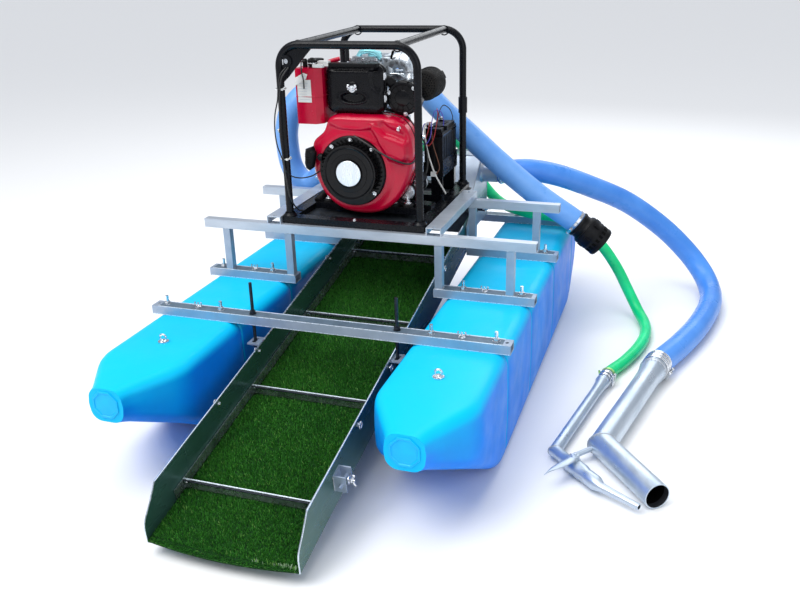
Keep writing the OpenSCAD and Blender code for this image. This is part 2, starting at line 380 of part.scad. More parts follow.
float_left();
float_right();
drain_plugs();
float_eyes();
beam_front();
beams_middle();
beams_third();
beam_rear();
beam_bolts();
legs_front();
legs_rear();
rail_front();
rail_rear();
deck_channels();
deck_plate();
cage_front();
cage_rear();
cage_side_tubes();
cage_base();
rubber_mounts();
crankcase();
cylinder_head();
fan_shroud();
recoil_cover();
flywheel_fan();
crankshaft();
recoil_pulley();
recoil_handle();
air_cleaner();
air_cleaner_nut();
intake_housing();
muffler();
exhaust_elbow();
fuel_tank();
fuel_cap();
injection_pump();
throttle_lever();
switch_gusset();
switch_key();
battery();
battery_bracket();
battery_cable();
pump_casing();
pump_impeller();
suction_pipe();
header_box();
sluice_tray();
tray_lugs();
riffle_frame();
turf_mat();
hanger_rods();
hanger_nuts();
intake_hose();
suction_hose();
pressure_hose();
foot_valve();
foot_flapper();
suction_nozzle();
jet_tube();
jet_lever();
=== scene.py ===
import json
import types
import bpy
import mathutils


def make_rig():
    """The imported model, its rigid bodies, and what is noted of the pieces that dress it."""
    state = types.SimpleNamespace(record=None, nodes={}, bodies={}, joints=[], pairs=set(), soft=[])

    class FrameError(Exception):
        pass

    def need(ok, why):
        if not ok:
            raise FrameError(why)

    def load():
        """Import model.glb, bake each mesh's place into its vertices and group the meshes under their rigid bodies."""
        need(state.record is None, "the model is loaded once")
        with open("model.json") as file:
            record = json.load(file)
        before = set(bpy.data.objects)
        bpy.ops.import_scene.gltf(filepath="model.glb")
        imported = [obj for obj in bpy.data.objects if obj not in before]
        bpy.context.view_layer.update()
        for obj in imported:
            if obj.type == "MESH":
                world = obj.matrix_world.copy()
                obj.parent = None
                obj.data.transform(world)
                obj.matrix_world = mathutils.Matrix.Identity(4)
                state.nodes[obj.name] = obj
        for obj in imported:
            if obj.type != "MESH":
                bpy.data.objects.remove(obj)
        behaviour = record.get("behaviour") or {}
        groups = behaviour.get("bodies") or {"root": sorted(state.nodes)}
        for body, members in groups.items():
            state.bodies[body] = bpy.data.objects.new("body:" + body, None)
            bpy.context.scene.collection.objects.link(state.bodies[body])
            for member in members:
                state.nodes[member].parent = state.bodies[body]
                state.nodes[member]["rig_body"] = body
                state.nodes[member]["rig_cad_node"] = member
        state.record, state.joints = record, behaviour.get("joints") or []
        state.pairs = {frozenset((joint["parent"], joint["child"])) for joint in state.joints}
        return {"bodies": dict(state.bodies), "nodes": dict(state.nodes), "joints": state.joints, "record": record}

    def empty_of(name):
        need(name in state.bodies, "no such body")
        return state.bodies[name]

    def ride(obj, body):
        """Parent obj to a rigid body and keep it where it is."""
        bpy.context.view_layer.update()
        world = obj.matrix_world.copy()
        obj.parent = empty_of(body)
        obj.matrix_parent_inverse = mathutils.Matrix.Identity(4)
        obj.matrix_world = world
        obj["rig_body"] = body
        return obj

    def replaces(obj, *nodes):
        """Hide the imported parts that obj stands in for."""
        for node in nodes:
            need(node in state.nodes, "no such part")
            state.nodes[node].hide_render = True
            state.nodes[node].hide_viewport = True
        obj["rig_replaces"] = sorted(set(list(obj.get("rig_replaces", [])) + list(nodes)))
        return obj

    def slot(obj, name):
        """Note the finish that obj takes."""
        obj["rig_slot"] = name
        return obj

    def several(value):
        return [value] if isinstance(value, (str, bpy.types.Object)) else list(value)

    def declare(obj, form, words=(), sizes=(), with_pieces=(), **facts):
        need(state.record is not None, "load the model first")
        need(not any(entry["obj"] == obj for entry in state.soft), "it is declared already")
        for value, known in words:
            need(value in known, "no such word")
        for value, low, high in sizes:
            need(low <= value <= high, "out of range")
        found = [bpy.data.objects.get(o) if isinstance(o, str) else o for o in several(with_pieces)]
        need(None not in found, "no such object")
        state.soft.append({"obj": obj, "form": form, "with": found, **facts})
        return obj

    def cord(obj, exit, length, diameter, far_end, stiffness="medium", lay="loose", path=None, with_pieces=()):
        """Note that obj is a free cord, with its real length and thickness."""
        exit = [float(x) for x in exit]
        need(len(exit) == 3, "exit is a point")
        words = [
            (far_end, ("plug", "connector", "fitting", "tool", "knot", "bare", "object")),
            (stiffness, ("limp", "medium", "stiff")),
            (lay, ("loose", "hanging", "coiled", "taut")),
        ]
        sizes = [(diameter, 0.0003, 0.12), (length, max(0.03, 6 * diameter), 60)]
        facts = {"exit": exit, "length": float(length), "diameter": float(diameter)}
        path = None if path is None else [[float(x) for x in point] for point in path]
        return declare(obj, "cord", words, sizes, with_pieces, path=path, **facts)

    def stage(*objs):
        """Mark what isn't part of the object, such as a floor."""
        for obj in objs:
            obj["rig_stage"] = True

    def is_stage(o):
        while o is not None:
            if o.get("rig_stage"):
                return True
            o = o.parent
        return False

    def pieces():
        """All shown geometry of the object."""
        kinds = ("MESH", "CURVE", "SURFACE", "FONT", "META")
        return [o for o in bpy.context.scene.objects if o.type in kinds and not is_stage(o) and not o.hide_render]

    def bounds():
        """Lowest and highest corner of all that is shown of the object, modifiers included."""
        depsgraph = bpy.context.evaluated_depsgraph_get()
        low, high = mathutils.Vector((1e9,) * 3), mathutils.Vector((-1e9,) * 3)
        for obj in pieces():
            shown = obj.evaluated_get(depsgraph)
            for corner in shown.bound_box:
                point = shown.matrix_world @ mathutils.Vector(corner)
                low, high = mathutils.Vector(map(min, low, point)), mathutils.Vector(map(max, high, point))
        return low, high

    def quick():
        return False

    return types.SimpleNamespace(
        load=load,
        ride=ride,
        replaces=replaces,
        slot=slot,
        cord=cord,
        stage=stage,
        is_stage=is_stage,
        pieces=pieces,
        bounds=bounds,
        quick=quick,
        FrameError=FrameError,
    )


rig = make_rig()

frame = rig.load()
cad_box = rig.bounds()

import bpy, bmesh, math, random, json
from mathutils import Vector, Matrix

random.seed(7)
YS = -0.452
ROOT = "float_frame"
SL = math.radians(10.4)


def W(x, y, z):
    "millimetres from the front beam's face to metres in the row frame"
    return Vector((x / 1000.0, y / 1000.0 + YS, z / 1000.0))


def S(x, v, w):
    "a point on the sloped sluice: v up the slope, w square to its floor"
    c, s = math.cos(SL), math.sin(SL)
    return W(x, v * c - w * s, 287 + v * s + w * c)


# ---------------------------------------------------------------- camera
cam_d = bpy.data.cameras.new("cam")
cam_d.lens = 870.2 * 36.0 / 800.0
cam_d.sensor_width = 36.0
cam_d.clip_end = 60
cam = bpy.data.objects.new("cam", cam_d)
bpy.context.scene.collection.objects.link(cam)
yaw, pit, rol = math.radians(19.2), math.radians(22.1), math.radians(-1.6)
fwd = Vector((-math.sin(yaw) * math.cos(pit), math.cos(yaw) * math.cos(pit), -math.sin(pit)))
rgt = Vector((math.cos(yaw), math.sin(yaw), 0))
upv = rgt.cross(fwd)
R_ = rgt * math.cos(rol) + upv * math.sin(rol)
U_ = -rgt * math.sin(rol) + upv * math.cos(rol)
mw = Matrix.Identity(4)
for i in range(3):
    mw[i][0], mw[i][1], mw[i][2] = R_[i], U_[i], -fwd[i]
p = W(1004.5, -2149.9, 1402.8)
mw[0][3], mw[1][3], mw[2][3] = p
cam.matrix_world = mw
bpy.context.scene.camera = cam

# ---------------------------------------------------------------- materials
MATS = {}


def mat(name, col, rough=0.5, metal=0.0, var=0.10, scale=18.0, rvar=0.10, bump=0.0, bscale=300.0,
        coat=0.0, spec=0.5, col2=None, grain=None, stretch=(1, 1, 1), kind="noise", top=None, painted_light_dir=None, sheen=0.0,
        dirt=None, dirt_scale=9.0, dirt_amt=0.35, ramp=(0.35, 0.65)):
    m = bpy.data.materials.new(name)
    m.use_nodes = True
    nt = m.node_tree
    N, L = nt.nodes, nt.links
    b = N["Principled BSDF"]
    b.inputs["Metallic"].default_value = metal
    b.inputs["Coat Weight"].default_value = coat
    b.inputs["Coat Roughness"].default_value = 0.12
    b.inputs["Specular IOR Level"].default_value = spec
    if sheen:
        b.inputs["Sheen Weight"].default_value = sheen
    tc = N.new("ShaderNodeTexCoord")
    mp = N.new("ShaderNodeMapping")
    mp.inputs["Scale"].default_value = stretch
    L.new(tc.outputs["Object"], mp.inputs["Vector"])
    if kind == "voronoi":
        t = N.new("ShaderNodeTexVoronoi")
        t.inputs["Scale"].default_value = scale
        sep = N.new("ShaderNodeSeparateColor")
        L.new(t.outputs["Color"], sep.inputs[0])
        fac = sep.outputs[0]
    else:
        t = N.new("ShaderNodeTexNoise")
        t.inputs["Scale"].default_value = scale
        t.inputs["Detail"].default_value = 6
        t.inputs["Roughness"].default_value = 0.6
        fac = t.outputs["Fac"]
    L.new(mp.outputs["Vector"], t.inputs["Vector"])
    rp = N.new("ShaderNodeValToRGB")
    L.new(fac, rp.inputs["Fac"])
    lo = [max(0, c * (1 - var)) for c in col]
    hi = [min(1, c * (1 + var)) for c in (col2 or col)]
    if col2:
        lo = list(col)
        hi = list(col2)
    rp.color_ramp.elements[0].position = ramp[0]
    rp.color_ramp.elements[1].position = ramp[1]
    rp.color_ramp.elements[0].color = (*lo, 1)
    rp.color_ramp.elements[1].color = (*hi, 1)
    out = rp.outputs["Color"]
    # painted light: faces turned up and toward the front, along the given direction, take the lighter top colour; the
    # other faces keep the darker base colour as painted shade
    if top is not None:
        g = N.new("ShaderNodeNewGeometry")
        sx = N.new("ShaderNodeSeparateXYZ")
        if painted_light_dir is not None:
            dp = N.new("ShaderNodeVectorMath")
            dp.operation = "DOT_PRODUCT"
            dp.inputs[1].default_value = painted_light_dir
            L.new(g.outputs["Normal"], dp.inputs[0])
        mr = N.new("ShaderNodeMapRange")
        mr.inputs["From Min"].default_value = 0.05
        mr.inputs["From Max"].default_value = 0.8
        mr.interpolation_type = "SMOOTHSTEP"
        if painted_light_dir is not None:
            L.new(dp.outputs["Value"], mr.inputs["Value"])
        else:
            L.new(g.outputs["Normal"], sx.inputs[0])
            L.new(sx.outputs["Z"], mr.inputs["Value"])
        mx = N.new("ShaderNodeMix")
        mx.data_type = "RGBA"
        L.new(mr.outputs["Result"], mx.inputs[0])
        L.new(out, mx.inputs[6])
        mx.inputs[7].default_value = (*top, 1)
        out = mx.outputs[2]
    if dirt is not None:
        t3 = N.new("ShaderNodeTexNoise")
        t3.inputs["Scale"].default_value = dirt_scale
        t3.inputs["Detail"].default_value = 10
        L.new(tc.outputs["Object"], t3.inputs["Vector"])
        r3 = N.new("ShaderNodeMapRange")
        r3.inputs["From Min"].default_value = 0.5
        r3.inputs["From Max"].default_value = 0.75
        r3.inputs["To Max"].default_value = dirt_amt
        L.new(t3.outputs["Fac"], r3.inputs["Value"])
        m3 = N.new("ShaderNodeMix")
        m3.data_type = "RGBA"
        L.new(r3.outputs["Result"], m3.inputs[0])
        L.new(out, m3.inputs[6])
        m3.inputs[7].default_value = (*dirt, 1)
        out = m3.outputs[2]
    L.new(out, b.inputs["Base Color"])
    t2 = N.new("ShaderNodeTexNoise")
    t2.inputs["Scale"].default_value = scale * 2.7
    t2.inputs["Detail"].default_value = 5
    L.new(mp.outputs["Vector"], t2.inputs["Vector"])
    rr = N.new("ShaderNodeMapRange")
    rr.inputs["From Min"].default_value = 0.3
    rr.inputs["From Max"].default_value = 0.7
    rr.inputs["To Min"].default_value = max(0.02, rough - rvar)
    rr.inputs["To Max"].default_value = min(1, rough + rvar)
    L.new(t2.outputs["Fac"], rr.inputs["Value"])
    L.new(rr.outputs["Result"], b.inputs["Roughness"])
    if bump:
        t4 = N.new("ShaderNodeTexNoise")
        t4.inputs["Scale"].default_value = bscale
        t4.inputs["Detail"].default_value = 3
        mp2 = N.new("ShaderNodeMapping")
        mp2.inputs["Scale"].default_value = grain or (1, 1, 1)
        L.new(tc.outputs["Object"], mp2.inputs["Vector"])
        L.new(mp2.outputs["Vector"], t4.inputs["Vector"])
        bp = N.new("ShaderNodeBump")
        bp.inputs["Strength"].default_value = min(1, bump)
        bp.inputs["Distance"].default_value = 0.001
        L.new(t4.outputs["Fac"], bp.inputs["Height"])
        L.new(bp.outputs["Normal"], b.inputs["Normal"])
    MATS[name] = m
    return m


# float blue: the darker base colour is painted shade on the sides, the lighter top colour is painted light on faces
# turned up and forward
mat("float", (0.0, 0.20, 0.80), rough=0.42, var=0.10, scale=4, bump=0.15, bscale=140, coat=0.03, spec=0.14,
    top=(0.0, 0.52, 0.87), painted_light_dir=(0.04, -0.62, 1.0), dirt=(0.0, 0.36, 0.84), dirt_scale=3.0, dirt_amt=0.22)
# end discs: a lighter copy of the float blue, painted light matching the lit top of the float
mat("float_rim_painted_light", (0.0, 0.44, 0.88), rough=0.38, var=0.06, scale=30, bump=0.15, bscale=200, coat=0.05, spec=0.25)
mat("plug", (0.02, 0.16, 0.5), rough=0.4, var=0.1, scale=60, bump=0.2, bscale=400)
mat("galv", (0.30, 0.37, 0.47), col2=(0.42, 0.49, 0.59), rough=0.40, metal=0.55, scale=16, rvar=0.10, bump=0.25, bscale=420, ramp=(0.2, 0.8),
    dirt=(0.20, 0.27, 0.36), dirt_scale=9, dirt_amt=0.35)
mat("rail", (0.42, 0.47, 0.54), col2=(0.55, 0.60, 0.67), rough=0.36, metal=0.6, scale=18, stretch=(0.2, 1, 1), rvar=0.08,
    bump=0.22, bscale=300, grain=(0.06, 1, 1), dirt=(0.34, 0.39, 0.46), dirt_scale=10, dirt_amt=0.3)
# a lighter copy of the galvanized finish, painted highlight along lips and edges
mat("edge_painted_highlight", (0.74, 0.82, 0.90), rough=0.30, metal=0.5, var=0.08, scale=40, bump=0.2, bscale=400)
# a darker copy of the galvanized finish, painted shade inside the beam channels
mat("channel_painted_shade", (0.085, 0.13, 0.18), col2=(0.13, 0.19, 0.25), rough=0.45, metal=0.4, scale=20, bump=0.3, bscale=300)
mat("deck", (0.016, 0.020, 0.026), col2=(0.030, 0.036, 0.045), rough=0.4, metal=0.2, scale=14, bump=0.3, bscale=260, dirt=(0.07, 0.08, 0.09), dirt_amt=0.3)
mat("bright", (0.72, 0.74, 0.77), rough=0.22, metal=1.0, var=0.12, scale=90, bump=0.2, bscale=700)
mat("black", (0.0035, 0.004, 0.006), rough=0.28, var=0.3, scale=30, bump=0.15, bscale=240, coat=0.05, spec=0.16, dirt=(0.010, 0.010, 0.012), dirt_scale=20, dirt_amt=0.25)
mat("black_gloss", (0.003, 0.003, 0.004), rough=0.20, var=0.3, scale=30, bump=0.12, bscale=300, coat=0.08, spec=0.18)
mat("black_plastic", (0.0045, 0.0045, 0.0055), rough=0.40, var=0.25, scale=40, bump=0.4, bscale=650, spec=0.16)
mat("rubber", (0.007, 0.007, 0.008), rough=0.6, var=0.3, scale=50, bump=0.5, bscale=500, spec=0.25, dirt=(0.04, 0.04, 0.038), dirt_scale=12, dirt_amt=0.25)
mat("red", (0.46, 0.0, 0.026), col2=(0.54, 0.0012, 0.034), rough=0.22, scale=9, bump=0.10, bscale=180, coat=0.28, spec=0.28, rvar=0.06)
mat("cast", (0.26, 0.27, 0.29), col2=(0.42, 0.43, 0.45), rough=0.5, metal=0.75, scale=60, bump=0.8, bscale=450, dirt=(0.08, 0.08, 0.085), dirt_scale=22, dirt_amt=0.6)
mat("silver_cast", (0.50, 0.56, 0.62), col2=(0.70, 0.75, 0.80), rough=0.32, metal=0.85, scale=40, bump=0.5, bscale=350)
mat("iron", (0.10, 0.10, 0.11), rough=0.6, metal=0.6, var=0.3, scale=40, bump=0.8, bscale=350)
mat("muffler", (0.008, 0.008, 0.008), col2=(0.018, 0.016, 0.015), rough=0.5, metal=0.1, scale=45, bump=0.6, bscale=420, spec=0.2)
# near-black: painted shade inside holes, slots, grooves and pipe mouths; also one thin black tube at the manifold
mat("hole_shade_and_black", (0.002, 0.002, 0.002), rough=0.8, var=0.3, scale=60, spec=0.1)
mat("white_cable", (0.72, 0.72, 0.69), rough=0.4, var=0.08, scale=60, bump=0.2, bscale=300)
mat("white_tie", (0.78, 0.78, 0.76), rough=0.4, var=0.05, scale=60, bump=0.2, bscale=300)
mat("label", (0.70, 0.69, 0.66), col2=(0.80, 0.79, 0.76), rough=0.45, scale=25, bump=0.15, bscale=150)
mat("label_grey", (0.55, 0.56, 0.58), col2=(0.66, 0.67, 0.69), rough=0.5, scale=60, bump=0.1, bscale=200)
mat("wire_red", (0.45, 0.02, 0.02), rough=0.4, var=0.1, scale=50, bump=0.2, bscale=300)
mat("wire_blue", (0.10, 0.08, 0.55), rough=0.4, var=0.1, scale=50, bump=0.2, bscale=300)
mat("wire_brown", (0.16, 0.06, 0.03), rough=0.4, var=0.1, scale=50, bump=0.2, bscale=300)
mat("wire_black", (0.012, 0.012, 0.012), rough=0.4, var=0.2, scale=50, bump=0.2, bscale=300)
mat("pump_blue", (0.03, 0.07, 0.14), col2=(0.05, 0.10, 0.19), rough=0.35, scale=20, bump=0.6, bscale=300, coat=0.3, dirt=(0.10, 0.11, 0.12), dirt_amt=0.5)
mat("bronze", (0.42, 0.28, 0.10), rough=0.4, metal=0.9, var=0.15, scale=40, bump=0.5, bscale=300)
mat("sheet", (0.36, 0.42, 0.50), col2=(0.48, 0.54, 0.62), rough=0.40, metal=0.55, scale=10, stretch=(1, 0.2, 1), rvar=0.12, bump=0.25, bscale=300,
    grain=(1, 0.06, 1), dirt=(0.26, 0.31, 0.37), dirt_scale=7, dirt_amt=0.4)
mat("tray", (0.034, 0.110, 0.085), col2=(0.060, 0.15, 0.125), rough=0.28, metal=0.5, scale=6, stretch=(1, 0.25, 1), rvar=0.10, bump=0.25, bscale=260,
    grain=(1, 0.05, 1), dirt=(0.018, 0.085, 0.055), dirt_scale=5, dirt_amt=0.7)
mat("tray_edge", (0.62, 0.70, 0.78), rough=0.25, metal=0.9, var=0.12, scale=30, bump=0.2, bscale=300)
mat("riffle", (0.36, 0.42, 0.43), col2=(0.62, 0.68, 0.70), rough=0.28, metal=0.9, scale=25, bump=0.3, bscale=300, dirt=(0.06, 0.14, 0.08), dirt_scale=16, dirt_amt=0.6)
mat("turf_base", (0.004, 0.028, 0.006), col2=(0.010, 0.05, 0.010), rough=0.9, scale=120, bump=0.8, bscale=900, spec=0.15)
mat("turf_blade", (0.012, 0.105, 0.013), col2=(0.075, 0.34, 0.032), rough=0.45, scale=420, spec=0.3, ramp=(0.40, 0.62), dirt=(0.014, 0.13, 0.016), dirt_scale=6, dirt_amt=0.6)
mat("turf_fleck", (0.16, 0.42, 0.06), col2=(0.34, 0.62, 0.16), rough=0.4, scale=300, spec=0.5)
mat("black_steel", (0.02, 0.025, 0.035), rough=0.35, metal=0.6, var=0.3, scale=80, bump=0.5, bscale=500)
mat("hose_pale", (0.120, 0.32, 0.74), col2=(0.18, 0.40, 0.82), rough=0.36, scale=7, bump=0.15, bscale=60, coat=0.08, spec=0.3)
mat("hose_blue", (0.050, 0.225, 0.69), col2=(0.085, 0.29, 0.78), rough=0.33, scale=6, bump=0.15, bscale=60, coat=0.1, spec=0.3)
mat("hose_green", (0.002, 0.60, 0.19), col2=(0.006, 0.74, 0.27), rough=0.36, scale=9, bump=0.15, bscale=80, coat=0.1, spec=0.3)
mat("nozzle", (0.43, 0.51, 0.60), col2=(0.60, 0.67, 0.75), rough=0.34, metal=0.75, scale=10, stretch=(1, 0.4, 1), rvar=0.08, bump=0.3, bscale=380,
    grain=(1, 0.25, 1), dirt=(0.36, 0.44, 0.54), dirt_scale=7, dirt_amt=0.5)
# a darker copy of the nozzle metal, painted shade just inside the mouth
mat("nozzle_inside_shade", (0.05, 0.055, 0.065), rough=0.5, metal=0.6, var=0.2, scale=60, bump=0.3, bscale=300)
mat("clamp_green", (0.35, 0.62, 0.22), rough=0.35, metal=0.5, var=0.2, scale=80, bump=0.3, bscale=400)
mat("turf_pale", (0.50, 0.66, 0.45), rough=0.45, var=0.15, scale=200, bump=0.1, bscale=300)
mat("weld", (0.45, 0.48, 0.52), rough=0.42, metal=0.8, var=0.2, scale=120, bump=0.8, bscale=500)
mat("silver_badge", (0.78, 0.82, 0.87), col2=(0.88, 0.91, 0.95), rough=0.30, metal=0.6, scale=30, stretch=(1, 1, 0.1), bump=0.2, bscale=500)
mat("air_black", (0.003, 0.003, 0.0045), rough=0.26, var=0.25, scale=40, bump=0.2, bscale=700, coat=0.05, spec=0.18)
mat("teal", (0.25, 0.62, 0.68), rough=0.35, metal=0.4, var=0.12, scale=30, bump=0.2, bscale=200)

# CAD nodes that stay get these
KEEP = {
    "drain_plugs": "plug", "float_eyes": "bright", "beam_front": "galv", "beams_middle": "galv", "beams_third": "galv", "beam_rear": "galv",
    "beam_bolts": "bright", "legs_front": "galv", "legs_rear": "galv", "rail_front": "rail", "rail_rear": "rail", "deck_channels": "rail",
    "deck_plate": "deck", "cage_front": "black", "cage_rear": "black", "cage_side_tubes": "black", "cage_base": "black", "rubber_mounts": "rubber",
    "crankcase": "cast", "cylinder_head": "silver_cast", "fan_shroud": "red", "recoil_cover": "black_gloss", "flywheel_fan": "iron",
    "crankshaft": "bright", "recoil_pulley": "black_plastic", "recoil_handle": "black_plastic", "air_cleaner": "black_plastic",
    "air_cleaner_nut": "bright", "intake_housing": "black_gloss", "muffler": "muffler", "exhaust_elbow": "silver_cast", "fuel_tank": "red",
    "fuel_cap": "black_plastic", "injection_pump": "silver_cast", "throttle_lever": "bright", "switch_gusset": "black", "switch_key": "bright",
    "battery": "black_plastic", "battery_bracket": "black", "battery_cable": "white_cable", "pump_casing": "pump_blue", "pump_impeller": "bronze",
    "suction_pipe": "rubber", "header_box": "sheet", "sluice_tray": "tray", "tray_lugs": "galv", "riffle_frame": "riffle", "turf_mat": "turf_base",
    "hanger_rods": "black_steel", "hanger_nuts": "black_steel", "foot_valve": "black_plastic", "foot_flapper": "rubber",
    "suction_nozzle": "nozzle", "jet_tube": "nozzle", "jet_lever": "nozzle", "float_left": "float", "float_right": "float",
    "intake_hose": "hose_pale", "suction_hose": "hose_blue", "pressure_hose": "hose_green"}
BEV = {"fan_shroud": 0.010, "air_cleaner": 0.010, "fuel_tank": 0.012, "recoil_cover": 0.005, "intake_housing": 0.006, "muffler": 0.005,
       "pump_casing": 0.004, "crankcase": 0.004, "cylinder_head": 0.0012, "battery": 0.004, "deck_channels": 0.0015, "rail_front": 0.0015,
       "rail_rear": 0.0015, "beam_front": 0.0015, "beams_middle": 0.0015, "beams_third": 0.0015, "beam_rear": 0.0015, "legs_front": 0.0012,
       "legs_rear": 0.0012, "cage_base": 0.002, "header_box": 0.0015, "sluice_tray": 0.0006, "riffle_frame": 0.0005, "deck_plate": 0.0006,
       "battery_bracket": 0.0008, "jet_lever": 0.0012, "foot_valve": 0.003, "switch_gusset": 0.001, "tray_lugs": 0.0008, "beam_bolts": 0.0006,
       "fuel_cap": 0.0015, "recoil_handle": 0.001, "injection_pump": 0.0015, "hanger_nuts": 0.0006, "throttle_lever": 0.0005}


def setmat(o, m):
    o.data.materials.clear()
    o.data.materials.append(m)


for n, o in frame["nodes"].items():
    if n in KEEP:
        setmat(o, MATS[KEEP[n]])
    if n in BEV:
        bv = o.modifiers.new("edge", "BEVEL")
        bv.width = BEV[n]
        bv.segments = 3 if BEV[n] > 0.003 else 2
        bv.limit_method = "ANGLE"
        bv.angle_limit = math.radians(35)
        bv.harden_normals = True


# ---------------------------------------------------------------- mesh helpers
def frame_of(d):
    d = d.normalized()
    a = Vector((0, 0, 1)) if abs(d.z) < 0.9 else Vector((1, 0, 0))
    s = d.cross(a).normalized()
    return s, d.cross(s).normalized()


def catmull(pts, k):
    pts = [Vector(p) for p in pts]
    out = []
    n = len(pts)
    for i in range(n - 1):
        a = pts[i - 1] if i > 0 else 2 * pts[0] - pts[1]
        b, c = pts[i], pts[i + 1]
        d = pts[i + 2] if i + 2 < n else 2 * pts[-1] - pts[-2]
        for j in range(k):
            t = j / k
            out.append(0.5 * (2 * b + (c - a) * t + (2 * a - 5 * b + 4 * c - d) * t * t + (3 * b - a - 3 * c + d) * t ** 3))
    out.append(pts[-1])
    return out


class Part:
    "one mesh piece, built from many small shapes, that rides on one body"

    def __init__(self, name, body, material, bevel=0.0, seg=2):
        self.bm = bmesh.new()
        self.name, self.body, self.bevel, self.seg = name, body, bevel, seg
        self.mats = [material] if isinstance(material, str) else list(material)
        self.mi = 0

    def use(self, i):
        self.mi = i
        return self

    def add(self, verts, faces):
        vs = [self.bm.verts.new(v) for v in verts]
        for f in faces:
            try:
                fc = self.bm.faces.new([vs[i] for i in f])
                fc.material_index = self.mi
            except ValueError:
                pass
        return vs

    def box(self, lo, hi, m=None):
        lo, hi = Vector(lo), Vector(hi)
        c = [Vector((x, y, z)) for z in (lo.z, hi.z) for y in (lo.y, hi.y) for x in (lo.x, hi.x)]
        if m is not None:
            c = [m @ v for v in c]
        self.add(c, [(0, 2, 3, 1), (4, 5, 7, 6), (0, 1, 5, 4), (2, 6, 7, 3), (0, 4, 6, 2), (1, 3, 7, 5)])
        return self

    def lathe(self, p, d, prof, n=32, a0=0.0, a1=360.0, cap=True):
        "prof = [(radius, height)] in metres along d from p"
        p, d = Vector(p), Vector(d).normalized()
        s, t = frame_of(d)
        full = abs(a1 - a0) >= 360
        m = n if full else n + 1
        vs = []
        for r, h in prof:
            for i in range(m):
                a = math.radians(a0 + (a1 - a0) * i / n)
                vs.append(p + d * h + (s * math.cos(a) + t * math.sin(a)) * max(r, 1e-5))
        fs = []
        for k in range(len(prof) - 1):
            for i in range(n):
                j = (i + 1) % m
                fs.append((k * m + i, k * m + j, (k + 1) * m + j, (k + 1) * m + i))
        if cap and full:
            fs.append(tuple(reversed(range(m))))
            fs.append(tuple(range((len(prof) - 1) * m, len(prof) * m)))
        self.add(vs, fs)
        return self

    def cyl(self, p, q, r, n=24, ch=0.0):
        p, q = Vector(p), Vector(q)
        h = (q - p).length
        prof = [(r, 0), (r, h)] if not ch else [(r - ch, 0), (r, ch), (r, h - ch), (r - ch, h)]
        return self.lathe(p, q - p, prof, n)

    def hex(self, p, d, af, h):
        return self.lathe(p, d, [(af / 2 / math.cos(math.pi / 6), 0), (af / 2 / math.cos(math.pi / 6), h)], 6)

    def bolt(self, p, d, af=0.010, h=0.006, washer=True, stud=0.0):
        p, d = Vector(p), Vector(d).normalized()
        if washer:
            self.lathe(p, d, [(af * 0.95, 0), (af * 0.95, af * 0.12), (af * 0.5, af * 0.14)], 20)
        self.lathe(p + d * af * 0.12, d, [(af * 0.577, 0), (af * 0.577, h * 0.8), (af * 0.46, h)], 6)
        if stud:
            self.cyl(p, p + d * (h + stud), af * 0.28, 12)
        return self

    def tube(self, pts, r, n=12, k=0, caps=True):
        pts = [Vector(q) for q in pts]
        if k:
            if isinstance(r, (list, tuple)):
                r = [r[min(i // k, len(r) - 1)] * (1 - (i % k) / k) + r[min(i // k + 1, len(r) - 1)] * (i % k) / k for i in range((len(pts) - 1) * k + 1)]
            pts = catmull(pts, k)
        m = len(pts)
        tan = []
        for i in range(m):
            a = pts[max(i - 1, 0)]
            b = pts[min(i + 1, m - 1)]
            tan.append((b - a).normalized())
        s, t = frame_of(tan[0])
        vs = []
        for i in range(m):
            s = (s - tan[i] * s.dot(tan[i])).normalized()
            t = tan[i].cross(s)
            rr = r[i] if isinstance(r, (list, tuple)) else r
            for j in range(n):
                a = 2 * math.pi * j / n
                vs.append(pts[i] + (s * math.cos(a) + t * math.sin(a)) * rr)
        fs = []
        for i in range(m - 1):
            for j in range(n):
                q = (j + 1) % n
                fs.append((i * n + j, i * n + q, (i + 1) * n + q, (i + 1) * n + j))
        if caps:
            fs.append(tuple(reversed(range(n))))
            fs.append(tuple(range((m - 1) * n, m * n)))
        self.add(vs, fs)
        return self

    def rings(self, rings, close0=True, close1=True):
        n = len(rings[0])
        vs = [v for r in rings for v in r]
        fs = []
        for i in range(len(rings) - 1):
            for j in range(n):
                q = (j + 1) % n
                fs.append((i * n + j, i * n + q, (i + 1) * n + q, (i + 1) * n + j))
        if close0:
            fs.append(tuple(reversed(range(n))))
        if close1:
            fs.append(tuple(range((len(rings) - 1) * n, len(rings) * n)))
        self.add(vs, fs)
        return self

    def done(self, slot=None, smooth=35, replaces=(), sub=0):
        bmesh.ops.recalc_face_normals(self.bm, faces=self.bm.faces)
        me = bpy.data.meshes.new(self.name)
        self.bm.to_mesh(me)
        self.bm.free()
        o = bpy.data.objects.new(self.name, me)
        bpy.context.scene.collection.objects.link(o)
        for m in self.mats:
            me.materials.append(MATS[m])
        if self.bevel:
            b = o.modifiers.new("edge", "BEVEL")
            b.width = self.bevel
            b.segments = self.seg
            b.limit_method = "ANGLE"
            b.angle_limit = math.radians(35)
        for f in me.polygons:
            f.use_smooth = True
        if sub:
            sm = o.modifiers.new("sub", "SUBSURF")
            sm.levels = sm.render_levels = sub
        elif smooth:
            me.set_sharp_from_angle(angle=math.radians(smooth))
        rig.ride(o, self.body)
        if slot:
            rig.slot(o, slot)
        if replaces:
            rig.replaces(o, *replaces)
        return o


